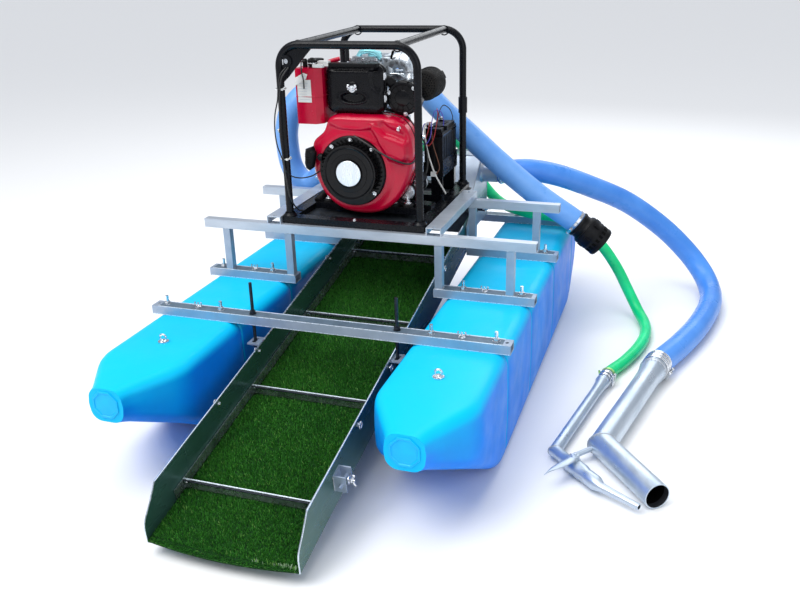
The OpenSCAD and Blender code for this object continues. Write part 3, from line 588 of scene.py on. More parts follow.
# ---------------------------------------------------------------- hoses
intake_pts = [[-290,840,626],[-312,843,627],[-337,865,620],[-362,888,595],[-400,904,556],[-452,908,556],[-490,902,610],[-500,894,690],[-494,888,770],
  [-468,892,842],[-415,925,900],[-345,975,938],[-262,1012,960],[-160,1020,980],[-70,1018,972],[0,1012,925],[60,1010,862],[120,1010,806],[195,1012,742],[320,1015,634],[460,1032,520],[575,1053,438],[610,1058,412]]
suction_pts = [[285,1130,575],[325,1132,582],[400,1155,585],[500,1220,555],[620,1320,490],[760,1440,400],
  [900,1530,280],[1010,1560,170],[1085,1520,90],[1118,1430,50],[1122,1310,44],[1105,1180,43],[1070,1020,43],[1020,860,43],[970,724,45],[960,694,46]]
pressure_pts = [[10,925,690],[12,970,695],[35,1060,702],[70,1160,700],[110,1234,650],[150,1247,570],[200,1247,490],[280,1225,425],
  [400,1195,400],[520,1180,395],[610,1180,360],[690,1190,290],[755,1195,200],[805,1190,110],[850,1150,45],[885,1070,22],[893,960,22],[875,840,22],[840,720,22],[805,630,25],[798,602,27]]
cable_pts = [[126,752,831],[118,728,836],[116,708,812],[128,700,745],[152,706,665],[186,722,592]]


def length_of(pts):
    return sum((pts[i + 1] - pts[i]).length for i in range(len(pts) - 1))


CORDS = []


def hose(name, pts, dia, material, slot, node, k=3, stiffness="stiff", far="object", with_pieces=(), lay="loose", replace=True):
    ps = catmull([W(*q) for q in pts], k)
    cu = bpy.data.curves.new(name, "CURVE")
    cu.dimensions = "3D"
    sp = cu.splines.new("POLY")
    sp.points.add(len(ps) - 1)
    for i, q in enumerate(ps):
        sp.points[i].co = (*q, 1)
    cu.bevel_depth = dia / 2
    cu.bevel_resolution = 8 if dia > 0.01 else 3
    cu.use_fill_caps = True
    cu.materials.append(MATS[material])
    sp.use_smooth = True
    o = bpy.data.objects.new(name, cu)
    bpy.context.scene.collection.objects.link(o)
    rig.ride(o, ROOT)
    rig.slot(o, slot)
    if replace:
        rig.replaces(o, node)
    CORDS.append(dict(obj=o, exit=tuple(ps[0]), length=length_of(ps), diameter=dia, far_end=far, stiffness=stiffness, lay=lay, with_pieces=list(with_pieces)))
    return o, ps


h_in, in_ps = hose("hose_intake", intake_pts, 0.088, "hose_pale", "hose_pale", "intake_hose", with_pieces=["foot_valve", "foot_flapper", "foot_shell"], far="fitting", k=5)
h_su, su_ps = hose("hose_suction", suction_pts, 0.086, "hose_blue", "hose_blue", "suction_hose", with_pieces=["suction_nozzle", "nozzle_clamps"], far="tool", k=5)
h_pr, pr_ps = hose("hose_pressure", pressure_pts, 0.042, "hose_green", "hose_green", "pressure_hose", with_pieces=["jet_tube", "jet_lever", "jet_clamps"], far="tool", k=4)
h_cb, cb_ps = hose("battery_lead", cable_pts, 0.006, "white_cable", "white_cable", "battery_cable", k=8, stiffness="medium", lay="hanging")


# ---------------------------------------------------------------- floats
def knots(y, tab):
    for (a, fa), (b, fb) in zip(tab, tab[1:]):
        if a <= y <= b:
            return fa + (fb - fa) * (y - a) / (b - a)
    return tab[-1][1] if y > tab[-1][0] else tab[0][1]


def soft(y, tab, r=34.0):
    "piecewise-linear profile with its corners rounded over r millimetres"
    return sum(knots(min(max(y + d, tab[0][0]), tab[-1][0]), tab) for d in (-r, -r / 2, 0, r / 2, r)) / 5.0


WID = [(-470, 92), (-295, 290), (1390, 290), (1560, 92)]
BOT = [(-470, 243), (-295, 154), (-50, 0), (1240, 0), (1390, 165), (1560, 243)]
TOP = [(-470, 337), (-295, 345), (1390, 345), (1560, 337)]
SEAMS = (22, 382, 810, 1244)


def rrect(w, h, r, n=7, bul=0.0):
    "rounded rectangle, sides bulged a little, as (x, z) round its centre"
    r = min(r, w / 2 - 1, h / 2 - 1)
    out = []
    for q, (sx, sz) in enumerate(((1, 1), (-1, 1), (-1, -1), (1, -1))):
        for i in range(n + 1):
            a = math.radians(90 * q + 90 * i / n)
            out.append(((w / 2 - r) * sx + r * math.cos(a), (h / 2 - r) * sz + r * math.sin(a)))
        # points along the next flat side
        nx = [(-1, 1), (-1, -1), (1, -1), (1, 1)][q]
        a = out[-1]
        b = ((w / 2 - r) * nx[0] + r * math.cos(math.radians(90 * (q + 1))), (h / 2 - r) * nx[1] + r * math.sin(math.radians(90 * (q + 1))))
        for i in (1, 2, 3):
            t = i / 4
            k = bul * math.sin(math.pi * t)
            x, z = a[0] + (b[0] - a[0]) * t, a[1] + (b[1] - a[1]) * t
            out.append((x + (k if abs(b[0] - a[0]) < 1e-6 else 0) * (1 if x > 0 else -1), z))
    return out


def float_piece(name, side, node):
    P = Part(name, ROOT, ["float", "float_rim_painted_light"])
    ys = set()
    for a, b, st in ((-470, -230, 12), (-230, -10, 20), (-10, 1210, 40), (1210, 1420, 15), (1420, 1560, 14)):
        y = a
        while y < b:
            ys.add(round(y, 1))
            y += st
    ys.add(1560)
    for s in SEAMS:
        ys = {y for y in ys if abs(y - s) > 13}
        ys |= {s - 11, s - 6, s - 3, s, s + 3, s + 6, s + 11}
    rings = []
    for y in sorted(ys):
        w, z0, z1 = soft(y, WID), soft(y, BOT), soft(y, TOP, 20)
        inset = 0.0
        for s in SEAMS:
            inset = max(inset, {0: 5.5, 3: 5.0, 6: 1.2}.get(abs(y - s), 0.0))
        cr = 40 if -295 < y < 1390 else 40 - 6 * min(1, (max(-295 - y, y - 1390)) / 175)
        w -= 2 * inset
        pr = rrect(w, z1 - z0, cr, 7, 2.0)
        zc = (z0 + z1) / 2
        rings.append([W(side * (420 + x * side), y, zc + z) for x, z in pr])
    P.rings(rings)
    # moulded end discs with a raised eight-sided rim
    for yy, dr in ((-470, -1), (1560, 1)):
        # the end discs and their rims take the lighter rim blue, painted light
        P.use(1)
        rim = []
        for rr, dy in ((43, 0.5), (42, 3.2), (37, 3.6), (35, 1.2), (20, 1.8), (3, 2.0)):
            rim.append([W(side * 420 + rr * math.cos(math.radians(22.5 + 45 * i)), yy + dr * dy, 290 + rr * math.sin(math.radians(22.5 + 45 * i))) for i in range(8)])
        P.rings(rim, close0=False)
        P.use(0)
    o = P.done("float_blue", smooth=28, replaces=(node,))
    return o


float_piece("float_shell_right", 1, "float_right")
float_piece("float_shell_left", -1, "float_left")

# ---------------------------------------------------------------- turf
tray_l, tray_r = -198.0, 218.0


def lip_v(x):
    "where the mat's front edge lies, bowed out in its middle"
    t = (x - 10) / 208.0
    return -700 - 13 * (1 - t * t)


def mat_drop(x, v):
    "how far the mat hangs below the floor's line near the lip"
    t = (x - 10) / 208.0
    k = max(0.0, min(1.0, (-660 - v) / 50.0))
    return -7.0 * k * k * (1 - t * t)


P = Part("turf_backing", "mat", "turf_base")
nx, nv = 24, 120
top, bot = [], []
for i in range(nx + 1):
    x = tray_l + 1 + (tray_r - tray_l - 2) * i / nx
    lv = lip_v(x)
    for j in range(nv + 1):
        v = lv + (905 - lv) * (j / nv) ** 1.0
        d = mat_drop(x, v) if v < -660 else 0.0
        top.append(S(x, v, -123 + 5.0 + d * 0.6 + random.uniform(-0.4, 0.4)))
        bot.append(S(x, v, -122.9 + d * 0.35 if v > -700 else -122.9 + d * 0.6))
n0 = len(top)
fs = []
for i in range(nx):
    for j in range(nv):
        a = i * (nv + 1) + j
        b = a + nv + 1
        fs.append((a, b, b + 1, a + 1))
        fs.append((n0 + a, n0 + a + 1, n0 + b + 1, n0 + b))
for j in range(nv):
    for i in (0, nx):
        a = i * (nv + 1) + j
        fs.append((a, a + 1, n0 + a + 1, n0 + a) if i == 0 else (a, n0 + a, n0 + a + 1, a + 1))
for i in range(nx):
    for j in (0, nv):
        a = i * (nv + 1) + j
        b = a + nv + 1
        fs.append((a, n0 + a, n0 + b, b) if j == 0 else (a, b, n0 + b, n0 + a))
P.add(top + bot, fs)
P.done("turf", smooth=60, replaces=("turf_mat",))


def blades(name, count, seed, hlo, hhi, wd, fleck=0.05, vlo=None, vhi=900):
    rnd = random.Random(seed)
    vs, fc, mi = [], [], []
    bars = (-515, -105, 310, 750)
    k = 0
    while k < count:
        x = rnd.uniform(tray_l + 4, tray_r - 4)
        v = rnd.uniform(lip_v(x) - 1 if vlo is None else vlo, vhi)
        if any(-1.5 < v - b < 5.5 for b in bars):
            continue
        lv = lip_v(x)
        if v < lv:
            continue
        h = rnd.uniform(hlo, hhi)
        if x < tray_l + 7 or x > tray_r - 7:
            h *= 0.7
        base = S(x, v, -123 + 4.0 + (mat_drop(x, v) * 0.6 if v < -660 else 0))
        az = rnd.uniform(0, 2 * math.pi)
        lean = rnd.uniform(0.0, 0.75) * h
        if v < lv + 16:
            az, lean = rnd.uniform(-1.9, -1.2), rnd.uniform(0.5, 1.0) * h
            h *= 0.8
        dx, dv = math.cos(az) * lean, math.sin(az) * lean
        wa = rnd.uniform(0, math.pi)
        ox, ov = math.cos(wa) * wd / 2, math.sin(wa) * wd / 2
        wb = -123 + 4.0 + (mat_drop(x, v) * 0.6 if v < -660 else 0)
        nseg = len(vs)
        vs += [S(x - ox, v - ov, wb), S(x + ox, v + ov, wb),
               S(x + dx * 0.35 + ox * 0.8, v + dv * 0.35 + ov * 0.8, wb + h * 0.55), S(x + dx * 0.35 - ox * 0.8, v + dv * 0.35 - ov * 0.8, wb + h * 0.55),
               S(x + dx, v + dv, wb + h * 0.97)]
        fc += [(nseg, nseg + 1, nseg + 2, nseg + 3), (nseg + 3, nseg + 2, nseg + 4)]
        f = 1 if rnd.random() < fleck else 0
        mi += [f, f]
        k += 1
    me = bpy.data.meshes.new(name)
    me.from_pydata(vs, [], fc)
    me.materials.append(MATS["turf_blade"])
    me.materials.append(MATS["turf_fleck"])
    me.polygons.foreach_set("material_index", mi)
    me.update()
    o = bpy.data.objects.new(name, me)
    bpy.context.scene.collection.objects.link(o)
    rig.ride(o, "mat")
    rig.slot(o, "turf")
    return o


blades("turf_blades_low", 62000, 11, 7, 13, 1.5, 0.03, vhi=100)
blades("turf_blades_high", 48000, 12, 7, 13, 1.5, 0.012, vlo=100)
# ---------------------------------------------------------------- engine details
NY = Vector((0, -1, 0))
SX, SZ = -58.0, 722.0


def sdist(p, poly):
    "signed distance to a closed outline, positive inside"
    x, z = p
    best, ins = 1e9, False
    n = len(poly)
    for i in range(n):
        ax, az = poly[i]
        bx_, bz = poly[(i + 1) % n]
        ex, ez = bx_ - ax, bz - az
        t = max(0, min(1, ((x - ax) * ex + (z - az) * ez) / (ex * ex + ez * ez)))
        d = math.hypot(x - ax - ex * t, z - az - ez * t)
        best = min(best, d)
        if (az > z) != (bz > z) and x < (bx_ - ax) * (z - az) / (bz - az) + ax:
            ins = not ins
    return best if ins else -best


def smooth01(t):
    t = max(0.0, min(1.0, t))
    return t * t * (3 - 2 * t)


def loop2(pts, k):
    "closed rounded loop through corner points"
    n = len(pts)
    out = []
    for i in range(n):
        a, b, c, d = (Vector((*pts[(i + j) % n], 0)) for j in (-1, 0, 1, 2))
        for j in range(k):
            t = j / k
            q = 0.5 * (2 * b + (c - a) * t + (2 * a - 5 * b + 4 * c - d) * t * t + (3 * b - a - 3 * c + d) * t ** 3)
            out.append((q.x, q.y))
    return out


def rrect(x, z, w, h, r, k=8):
    out = []
    for cx_, cz_, a0 in ((x + w / 2 - r, z + h / 2 - r, 0), (x - w / 2 + r, z + h / 2 - r, 90), (x - w / 2 + r, z - h / 2 + r, 180), (x + w / 2 - r, z - h / 2 + r, 270)):
        for i in range(k + 1):
            a = math.radians(a0 + 90 * i / k)
            out.append((cx_ + r * math.cos(a), cz_ + r * math.sin(a)))
        # straight runs get points too
        nx = out[-1]
        out.append(nx)
    res = []
    n = len(out)
    for i in range(n):
        a, b = out[i], out[(i + 1) % n]
        d = math.hypot(b[0] - a[0], b[1] - a[1])
        if d < 1e-6:
            continue
        m = max(1, int(d / 6))
        for j in range(m):
            res.append((a[0] + (b[0] - a[0]) * j / m, a[1] + (b[1] - a[1]) * j / m))
    return res


def pillow(part, c, outline, yb, yf, er, hfun, rings=40):
    "moulded cover: an outline lofted from yb to yf, rounded at the edge, its face raised by hfun(x, z)"
    R = []
    R.append([W(x, yb, z) for x, z in outline])
    R.append([W(x, yf + er, z) for x, z in outline])

    def inset(t):
        return [(x + (c[0] - x) * t / max(1, math.hypot(x - c[0], z - c[1])), z + (c[1] - z) * t / max(1, math.hypot(x - c[0], z - c[1]))) for x, z in outline]
    for i in range(1, 7):
        a = math.pi / 2 * i / 6
        o2 = inset(er * (1 - math.cos(a)))
        R.append([W(x, yf + er - er * math.sin(a) - hfun(x, z) * math.sin(a), z) for x, z in o2])
    base = inset(er)
    for i in range(1, rings + 1):
        t = i / (rings + 0.3)
        R.append([W(x + (c[0] - x) * t, yf - hfun(x + (c[0] - x) * t, z + (c[1] - z) * t), z + (c[1] - z) * t) for x, z in base])
    part.rings(R)
    return part


# fan shroud, one moulded shell
sh = [(-128, 897), (-40, 901), (50, 900), (106, 886), (138, 840), (147, 768), (131, 700), (94, 632), (38, 589), (-35, 576), (-110, 590), (-164, 634),
      (-193, 688), (-203, 745), (-199, 808), (-160, 846)]
bl = [(6, 900), (60, 850), (100, 838), (134, 826), (140, 775), (118, 752), (68, 764), (38, 812), (10, 860)]
bl2 = [(30, 905), (75, 866), (128, 850), (134, 838), (112, 890), (60, 905)]
lip = [(-150, 880), (-140, 912), (60, 912), (40, 868), (-20, 856), (-100, 858)]


def shroud_h(x, z):
    h = 18 * smooth01((sdist((x, z), bl) + 3) / 15)
    h = max(h, 9 * smooth01((sdist((x, z), bl2) + 3) / 12))
    h = max(h, 7 * smooth01((sdist((x, z), lip) + 4) / 10))
    r = math.hypot(x - SX, z - SZ)
    h += 5 * smooth01((150 - r) / 26)
    return h * (1 if r > 112 else smooth01((r - 100) / 12))


p = Part("shroud", ROOT, "red")
pillow(p, (SX, SZ), loop2(sh, 8 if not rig.quick() else 5), 562, 470, 15, shroud_h, 64 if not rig.quick() else 30)
p.done(slot="red_paint", smooth=50, replaces=["fan_shroud"])

p = Part("shroud_trim", ROOT, ["bright", "hole_shade_and_black", "black", "red"])
for x, z in ((105, 868),):
    p.use(3).lathe(W(x, 470, z), NY, [(0.013, 0), (0.012, 0.003), (0.009, 0.0042)], 28)
    p.use(0).bolt(W(x, 464.5, z), NY, 0.009, 0.005)
# two black lines round the shroud's outline, at its side and at the seam to the backing plate
p.use(2)
ol = loop2(sh, 6)
p.tube([W(x, 520, z) for x, z in ol + ol[:1]], 0.0022, 6)
p.tube([W(x, 552, z) for x, z in ol + ol[:1]], 0.0030, 6)
p.done(slot="red_paint")

# recoil starter cover details
p = Part("starter_trim", ROOT, ["silver_badge", "black_gloss", "hole_shade_and_black", "bright", "black_plastic"], bevel=0.0)
p.use(1).lathe(W(SX, 425, SZ), NY, [(0.0455, 0.0), (0.0455, 0.0016), (0.0435, 0.0024), (0.0425, 0.0012)], 72)
p.use(0).lathe(W(SX, 424.6, SZ), NY, [(0.0425, 0.0), (0.0425, 0.0012), (0.0415, 0.0020), (0.018, 0.0026), (0.0001, 0.0027)], 72)
p.use(1).lathe(W(SX, 428, SZ), NY, [(0.086, 0.0), (0.086, 0.0022), (0.0835, 0.0032), (0.081, 0.0022), (0.081, 0.0)], 96, cap=False)
p.lathe(W(SX, 428.2, SZ), NY, [(0.064, 0.0), (0.063, 0.0014), (0.0495, 0.0018), (0.0485, 0.0)], 96, cap=False)
p.lathe(W(SX, 470, SZ), NY, [(0.117, 0.0), (0.117, 0.006), (0.1145, 0.0105), (0.110, 0.0125), (0.106, 0.0105), (0.1055, 0.004)], 120, cap=False)
# vent slots round the cover drawn as near-black boxes, painted shade
nb = 44
for i in range(nb):
    a = 2 * math.pi * i / nb
    if -2.45 < (a if a < math.pi else a - 2 * math.pi) < -0.7:
        continue
    s2, c2 = math.sin(a), math.cos(a)
    m = Matrix.Translation(W(SX + 99 * c2, 455.5, SZ + 99 * s2)) @ Matrix.Rotation(-a - 0.6, 4, "Y")
    p.use(2).box((-0.0085, -0.0012, -0.0026), (0.0085, 0.003, 0.0026), m)
    m = Matrix.Translation(W(SX + 92.6 * c2, 442, SZ + 92.6 * s2)) @ Matrix.Rotation(-a, 4, "Y")
    p.box((-0.0012, -0.007, -0.003), (0.0016, 0.009, 0.003), m)
for a in (46, 90, 130, 222, 318):
    x, z = SX + 104 * math.cos(math.radians(a)), SZ + 104 * math.sin(math.radians(a))
    p.use(4).lathe(W(x, 457, z), NY, [(0.010, 0), (0.009, 0.003), (0.008, 0.0035)], 20)
    if a != 222:
        p.use(3).bolt(W(x, 453.6, z), NY, 0.0075, 0.0045)
# rope guide
p.use(4).lathe(W(SX - 96, 446, SZ + 45), (-1, 0, 0), [(0.012, 0), (0.013, 0.010), (0.010, 0.016), (0.005, 0.017)], 24)
p.done()
p = Part("starter_grip_form", "starter_grip", ["black_plastic", "hole_shade_and_black"])
q = [(-190, 782, 11), (-193, 790, 15.5), (-197, 786, 17.5), (-200, 774, 17), (-201, 760, 16), (-202, 746, 17), (-200, 734, 16), (-195, 727, 11)]
p.tube([W(x, 446, z) for x, z, r in q], [r / 1000 for x, z, r in q], 28, 0)
# near-black rings in the grip's grooves, painted shade
for z in (752, 760, 768):
    p.use(1).lathe(W(-200.5, 446, z), (0, 0, 1), [(0.0166, -0.0012), (0.0172, 0), (0.0166, 0.0012)], 28, cap=False)
p.done()

# air cleaner, one moulded box with a step along its top and an oval grip
ao = rrect(-57, 980, 198, 158, 30)
CG = (-60, 954)


def air_h(x, z):
    h = 4.0 * smooth01((1041 - z) / 5) if z > 1020 else 4.0
    e = min(99 - abs(x + 57), 79 - abs(z - 980))
    h += 5 * smooth01(e / 30)
    g = math.hypot((x - CG[0]) / 1.0, (z - CG[1]) * 2.6)
    h -= 13 * smooth01((46 - g) / 12)
    h += 2.5 * math.exp(-((g - 50) / 7.0) ** 2) * (1 if z < CG[1] else 0.5)
    u = math.hypot(x + 58, z - 983)
    h += 2.0 * smooth01((24 - u) / 6)
    d = sdist((x, z), [(8, 1062), (-2, 1020), (6, 985), (26, 975), (45, 975), (45, 1062)])
    h -= 8 * smooth01((d + 4) / 12)
    return h


p = Part("air_box", ROOT, "air_black")
pillow(p, (-57, 980), ao, 546, 507, 13, air_h, 60 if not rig.quick() else 26)
p.done(slot="black_plastic", smooth=60, replaces=["air_cleaner"])
p = Part("air_trim", ROOT, ["black_plastic", "hole_shade_and_black", "bright", "black_gloss"], bevel=0.0008)
p.use(0).tube([W(x, 530, z) for x, z in ao + ao[:1]], 0.0026, 8)
# near-black line in the groove round the box, painted shade
p.use(1).tube([W(x, 534.5, z) for x, z in ao + ao[:1]], 0.0014, 8)
p.use(0).box(W(-140, 498, 1050), W(26, 528, 1062))
p.box(W(-132, 494, 1053), W(20, 500, 1060))
for z in (940, 1010):
    p.use(2).box(W(41, 516, z), W(46, 532, z + 22))
    p.use(2).cyl(W(45, 524, z + 4), W(45, 524, z + 18), 0.003, 12)
p.done()
p = Part("wing_nut", "filter_nut", ["bright"], bevel=0.0008)
p.lathe(W(-58, 500, 983), NY, [(0.012, 0), (0.0115, 0.004), (0.007, 0.010), (0.0055, 0.0145)], 24)
for sg in (-1, 1):
    p.tube([W(-58 + sg * 5, 493, 983), W(-58 + sg * 10, 490, 985.5), W(-58 + sg * 14, 487.5, 990), W(-58 + sg * 13, 487, 995), W(-58 + sg * 8, 488.5, 995.5)], [0.0034, 0.0034, 0.0036, 0.0036, 0.0028], 10, 4)
p.done()

# intake housing face and silver manifold
p = Part("intake_face", ROOT, ["black_gloss", "black_plastic", "bright"])
p.lathe(W(96, 546, 950), NY, [(0.056, -0.05), (0.0565, -0.004), (0.055, 0.003), (0.051, 0.0075), (0.044, 0.008), (0.042, 0.0055), (0.026, 0.0062), (0.024, 0.0085), (0.012, 0.011), (0.001, 0.0115)], 72)
p.use(1)
for a in range(0, 360, 30):
    x, z = 96 + 34 * math.cos(math.radians(a)), 950 + 34 * math.sin(math.radians(a))
    m = Matrix.Translation(W(x, 540, z)) @ Matrix.Rotation(-math.radians(a), 4, "Y")
    p.box((-0.008, -0.0015, -0.0012), (0.008, 0.002, 0.0012), m)
for a in (40, 160, 280):
    x, z = 96 + 51 * math.cos(math.radians(a)), 950 + 51 * math.sin(math.radians(a))
    p.use(2).bolt(W(x, 539, z), NY, 0.008, 0.005)
p.use(1)
p.tube([W(60, 560, 990), W(40, 552, 1004), W(20, 546, 1000)], 0.016, 20, 6)
p.done(slot="black_plastic")

p = Part("manifold", ROOT, ["silver_cast", "bright", "weld", "teal", "hole_shade_and_black"])
# cup
p.lathe(W(17, 640, 1008), (0, 0, 1), [(0.024, 0), (0.0245, 0.030), (0.0245, 0.052), (0.028, 0.053), (0.028, 0.058), (0.0255, 0.060), (0.0245, 0.066), (0.018, 0.070), (0.006, 0.071)], 40)
# elbow
p.tube([W(5, 640, 1020), W(30, 640, 1052), W(62, 638, 1058), (W(90, 636, 1046)), W(100, 634, 1018), W(98, 620, 985), W(96, 600, 960)],
       [0.022, 0.025, 0.0275, 0.0285, 0.028, 0.026, 0.024], 32, 8)
for c0, ax in ((W(62, 638, 1058), (1, 0, -0.15)), (W(100, 634, 1020), (0.1, -0.2, -1))):
    p.use(2).lathe(c0, ax, [(0.0278, -0.003), (0.0302, -0.002), (0.0302, 0.002), (0.0278, 0.003)], 40, cap=False)
p.use(0).box(W(-100, 610, 1058), W(-20, 725, 1070))
p.box(W(-112, 604, 1052), W(-8, 735, 1058))
for x in (-104, -62, -16):
    for y in (610, 728):
        p.use(1).bolt(W(x, y, 1058), (0, 0, 1), 0.009, 0.006)
p.use(3).lathe(W(-34, 648, 1060), (0, 0, 1), [(0.021, 0), (0.023, 0.006), (0.023, 0.018), (0.018, 0.024), (0.006, 0.026)], 32)
p.tube([W(-90, 640, 1066), W(-75, 632, 1082), W(-48, 628, 1086), W(-26, 630, 1080), W(-6, 634, 1062)], 0.0085, 16, 6)
p.use(4).tube([W(46, 604, 1090), W(40, 606, 1075), W(36, 612, 1066)], 0.004, 10, 4)
p.done(slot="cast_alloy")

# muffler: perforated guard
p = Part("muffler_guard", ROOT, ["muffler", "hole_shade_and_black", "bright"])
MC, MR = (144, 980), 0.0505
p.lathe(W(MC[0], 622, MC[1]), (0, 1, 0), [(0.040, -0.004), (0.046, -0.0025), (MR, 0.004), (MR, 0.082), (0.046, 0.088)], 64)
# the perforations are near-black discs inside raised rims, painted shade in the holes
nr = 34
rows = 9
for k in range(rows):
    y = 630 + k * 8.2
    for i in range(nr):
        a = 2 * math.pi * (i + 0.5 * (k % 2)) / nr
        d = Vector((math.cos(a), 0, math.sin(a)))
        p.use(1).lathe(W(MC[0], y, MC[1]) + d * (MR - 0.0006), d, [(0.0026, 0.0), (0.0026, 0.0008)], 8)
        p.use(0).lathe(W(MC[0], y, MC[1]) + d * (MR - 0.0006), d, [(0.0036, 0.0), (0.0034, 0.0013), (0.0026, 0.0012)], 8, cap=False)
for ring, cnt in ((0.010, 8), (0.019, 14), (0.028, 20), (0.036, 26)):
    for i in range(cnt):
        a = 2 * math.pi * i / cnt
        q0 = W(MC[0], 618.2, MC[1]) + Vector((math.cos(a) * ring, 0, math.sin(a) * ring))
        p.use(1).lathe(q0, NY, [(0.0024, 0.0), (0.0024, 0.0005)], 8)
        p.use(0).lathe(q0, NY, [(0.0034, 0.0), (0.0032, 0.0009), (0.0024, 0.0007)], 8, cap=False)
p.use(0)
for a in (30, 150, 270):
    d = Vector((math.cos(math.radians(a)), 0, math.sin(math.radians(a))))
    p.bolt(W(MC[0], 618, MC[1]) + d * 0.042, NY, 0.007, 0.004)
p.use(0).tube([W(144, 706, 980), W(146, 722, 982), W(158, 738, 990), W(176, 748, 1000)], 0.014, 20, 5)
p.done(slot="iron", replaces=["muffler"])

# tank: seam, label, tag, filler
p = Part("tank_trim", ROOT, ["red", "label", "label_grey", "bright", "black_plastic", "wire_black", "white_tie"], bevel=0.0006)
p.use(0).box(W(-248, 474, 956), W(-206, 476, 960))
to = [(-247, 470), (-180, 469), (-159, 490), (-159, 641), (-247, 641)]
p.use(0).tube([W(x, y, 958) for x, y in to + to[:1]], 0.0016, 8)
p.use(1).box(W(-240, 468.6, 940), W(-192, 470.2, 1012))
p.use(2)
random.seed(3)
for k in range(7):
    z = 1002 - k * 8.6
    p.box(W(-236, 468.2, z - 2.2), W(-198 - random.uniform(0, 14), 468.8, z))
p.use(6)
tag = [W(-247, 466.5, 992), W(-205, 463.5, 1016), W(-200, 464, 1030), W(-214, 465.5, 1034), W(-246, 467, 1018)]
p.add(tag + [v + Vector((0, 0.0012, 0)) for v in tag], [(0, 1, 2, 3, 4), (9, 8, 7, 6, 5)] + [(i, 5 + i, 5 + (i + 1) % 5, (i + 1) % 5) for i in range(5)])
p.use(3).lathe(W(-203, 545, 1048), (0, 0, 1), [(0.030, 0), (0.030, 0.002), (0.0275, 0.003)], 36, cap=False)
# vent and hose fittings on the tank's front shoulder
p.use(4).lathe(W(-196, 500, 1048), (0, 0, 1), [(0.011, 0), (0.011, 0.012), (0.014, 0.013), (0.014, 0.022), (0.009, 0.026), (0.006, 0.030)], 24)
p.use(3).lathe(W(-196, 500, 1060), (0, 0, 1), [(0.0146, 0), (0.0146, 0.003)], 24)
p.use(4).lathe(W(-224, 505, 1048), (0, 0, 1), [(0.008, 0), (0.008, 0.016), (0.010, 0.018), (0.006, 0.026)], 20)
p.use(6).box(W(-186, 476, 1050), W(-150, 490, 1060))
p.box(W(-178, 500, 1052), W(-140, 520, 1068))
p.use(0).box(W(-176, 560, 1048), W(-150, 612, 1062))
p.use(0).tube([W(-165, 530, 1050), W(-150, 540, 1062), W(-120, 552, 1070)], 0.007, 12, 4)
p.done(slot="red_paint")

# key switch bezel
p = Part("key_bezel", ROOT, ["bright", "black_plastic", "label_grey"], bevel=0.0005)
p.lathe(W(-235, 396, 1080), NY, [(0.0165, -0.004), (0.0165, 0.004), (0.0155, 0.0055), (0.0125, 0.0062), (0.0118, 0.003)], 48, cap=False)
p.use(1).lathe(W(-235, 396, 1080), NY, [(0.0125, -0.003), (0.0122, 0.0042), (0.0095, 0.0046), (0.0090, 0.0020)], 40, cap=False)
p.done()

# cage: ties, each a band with a head and a tail
p = Part("cage_ties", ROOT, ["white_tie", "wire_black", "black", "bright", "rubber"], bevel=0.0)
for x, y, z in ((-263, 396, 994), (-263, 396, 770)):
    p.use(0).lathe(W(x, y, z - 2), (0, 0, 1), [(0.0172, 0), (0.0182, 0), (0.0182, 0.0035), (0.0172, 0.0035)], 36, cap=False)
    p.box(W(x + 8, y - 21, z - 3), W(x + 15, y - 15, z + 3))
    p.tube([W(x + 12, y - 19, z), W(x + 22, y - 26, z + 5), W(x + 30, y - 27, z + 13)], 0.0012, 6, 3)
p.done()
# ---------------------------------------------------------------- hose ends, nozzle and jet
def clamp(part, c, d, r, w=0.012, ang=60, i_band=0, i_slot_shade=1):
    "worm-drive hose clamp round axis d at c"
    c, d = Vector(c), Vector(d).normalized()
    part.use(i_band).lathe(c - d * w / 2, d, [(r, 0), (r + 0.0014, 0.0004), (r + 0.0014, w - 0.0004), (r, w)], 56, cap=False)
    part.lathe(c - d * (w / 2 - 0.0012), d, [(r + 0.0013, 0), (r + 0.0021, 0.0005), (r + 0.0013, 0.0012)], 56, cap=False)
    part.lathe(c + d * (w / 2 - 0.0024), d, [(r + 0.0013, 0), (r + 0.0021, 0.0005), (r + 0.0013, 0.0012)], 56, cap=False)
    s, t = frame_of(d)
    a = math.radians(ang)
    o = s * math.cos(a) + t * math.sin(a)
    q = -s * math.sin(a) + t * math.cos(a)
    b = c + o * (r + 0.0055)
    m = Matrix((( *q, 0), (*d, 0), (*o, 0), (0, 0, 0, 1))).transposed()
    m = Matrix.Translation(b) @ m
    part.box((-0.011, -w * 0.46, -0.0045), (0.011, w * 0.46, 0.0035), m)
    part.cyl(b - q * 0.017 + o * 0.001, b + q * 0.014 + o * 0.001, 0.0036, 16)
    part.lathe(b + q * 0.014 + o * 0.001, q, [(0.0052, 0), (0.0052, 0.0055), (0.004, 0.0065)], 6)
    # painted shade: a near-black slot in the screw head
    part.use(i_slot_shade).box((0.0198, -0.0006, -0.0022), (0.0212, 0.0006, 0.0042), m)
    part.use(i_band)


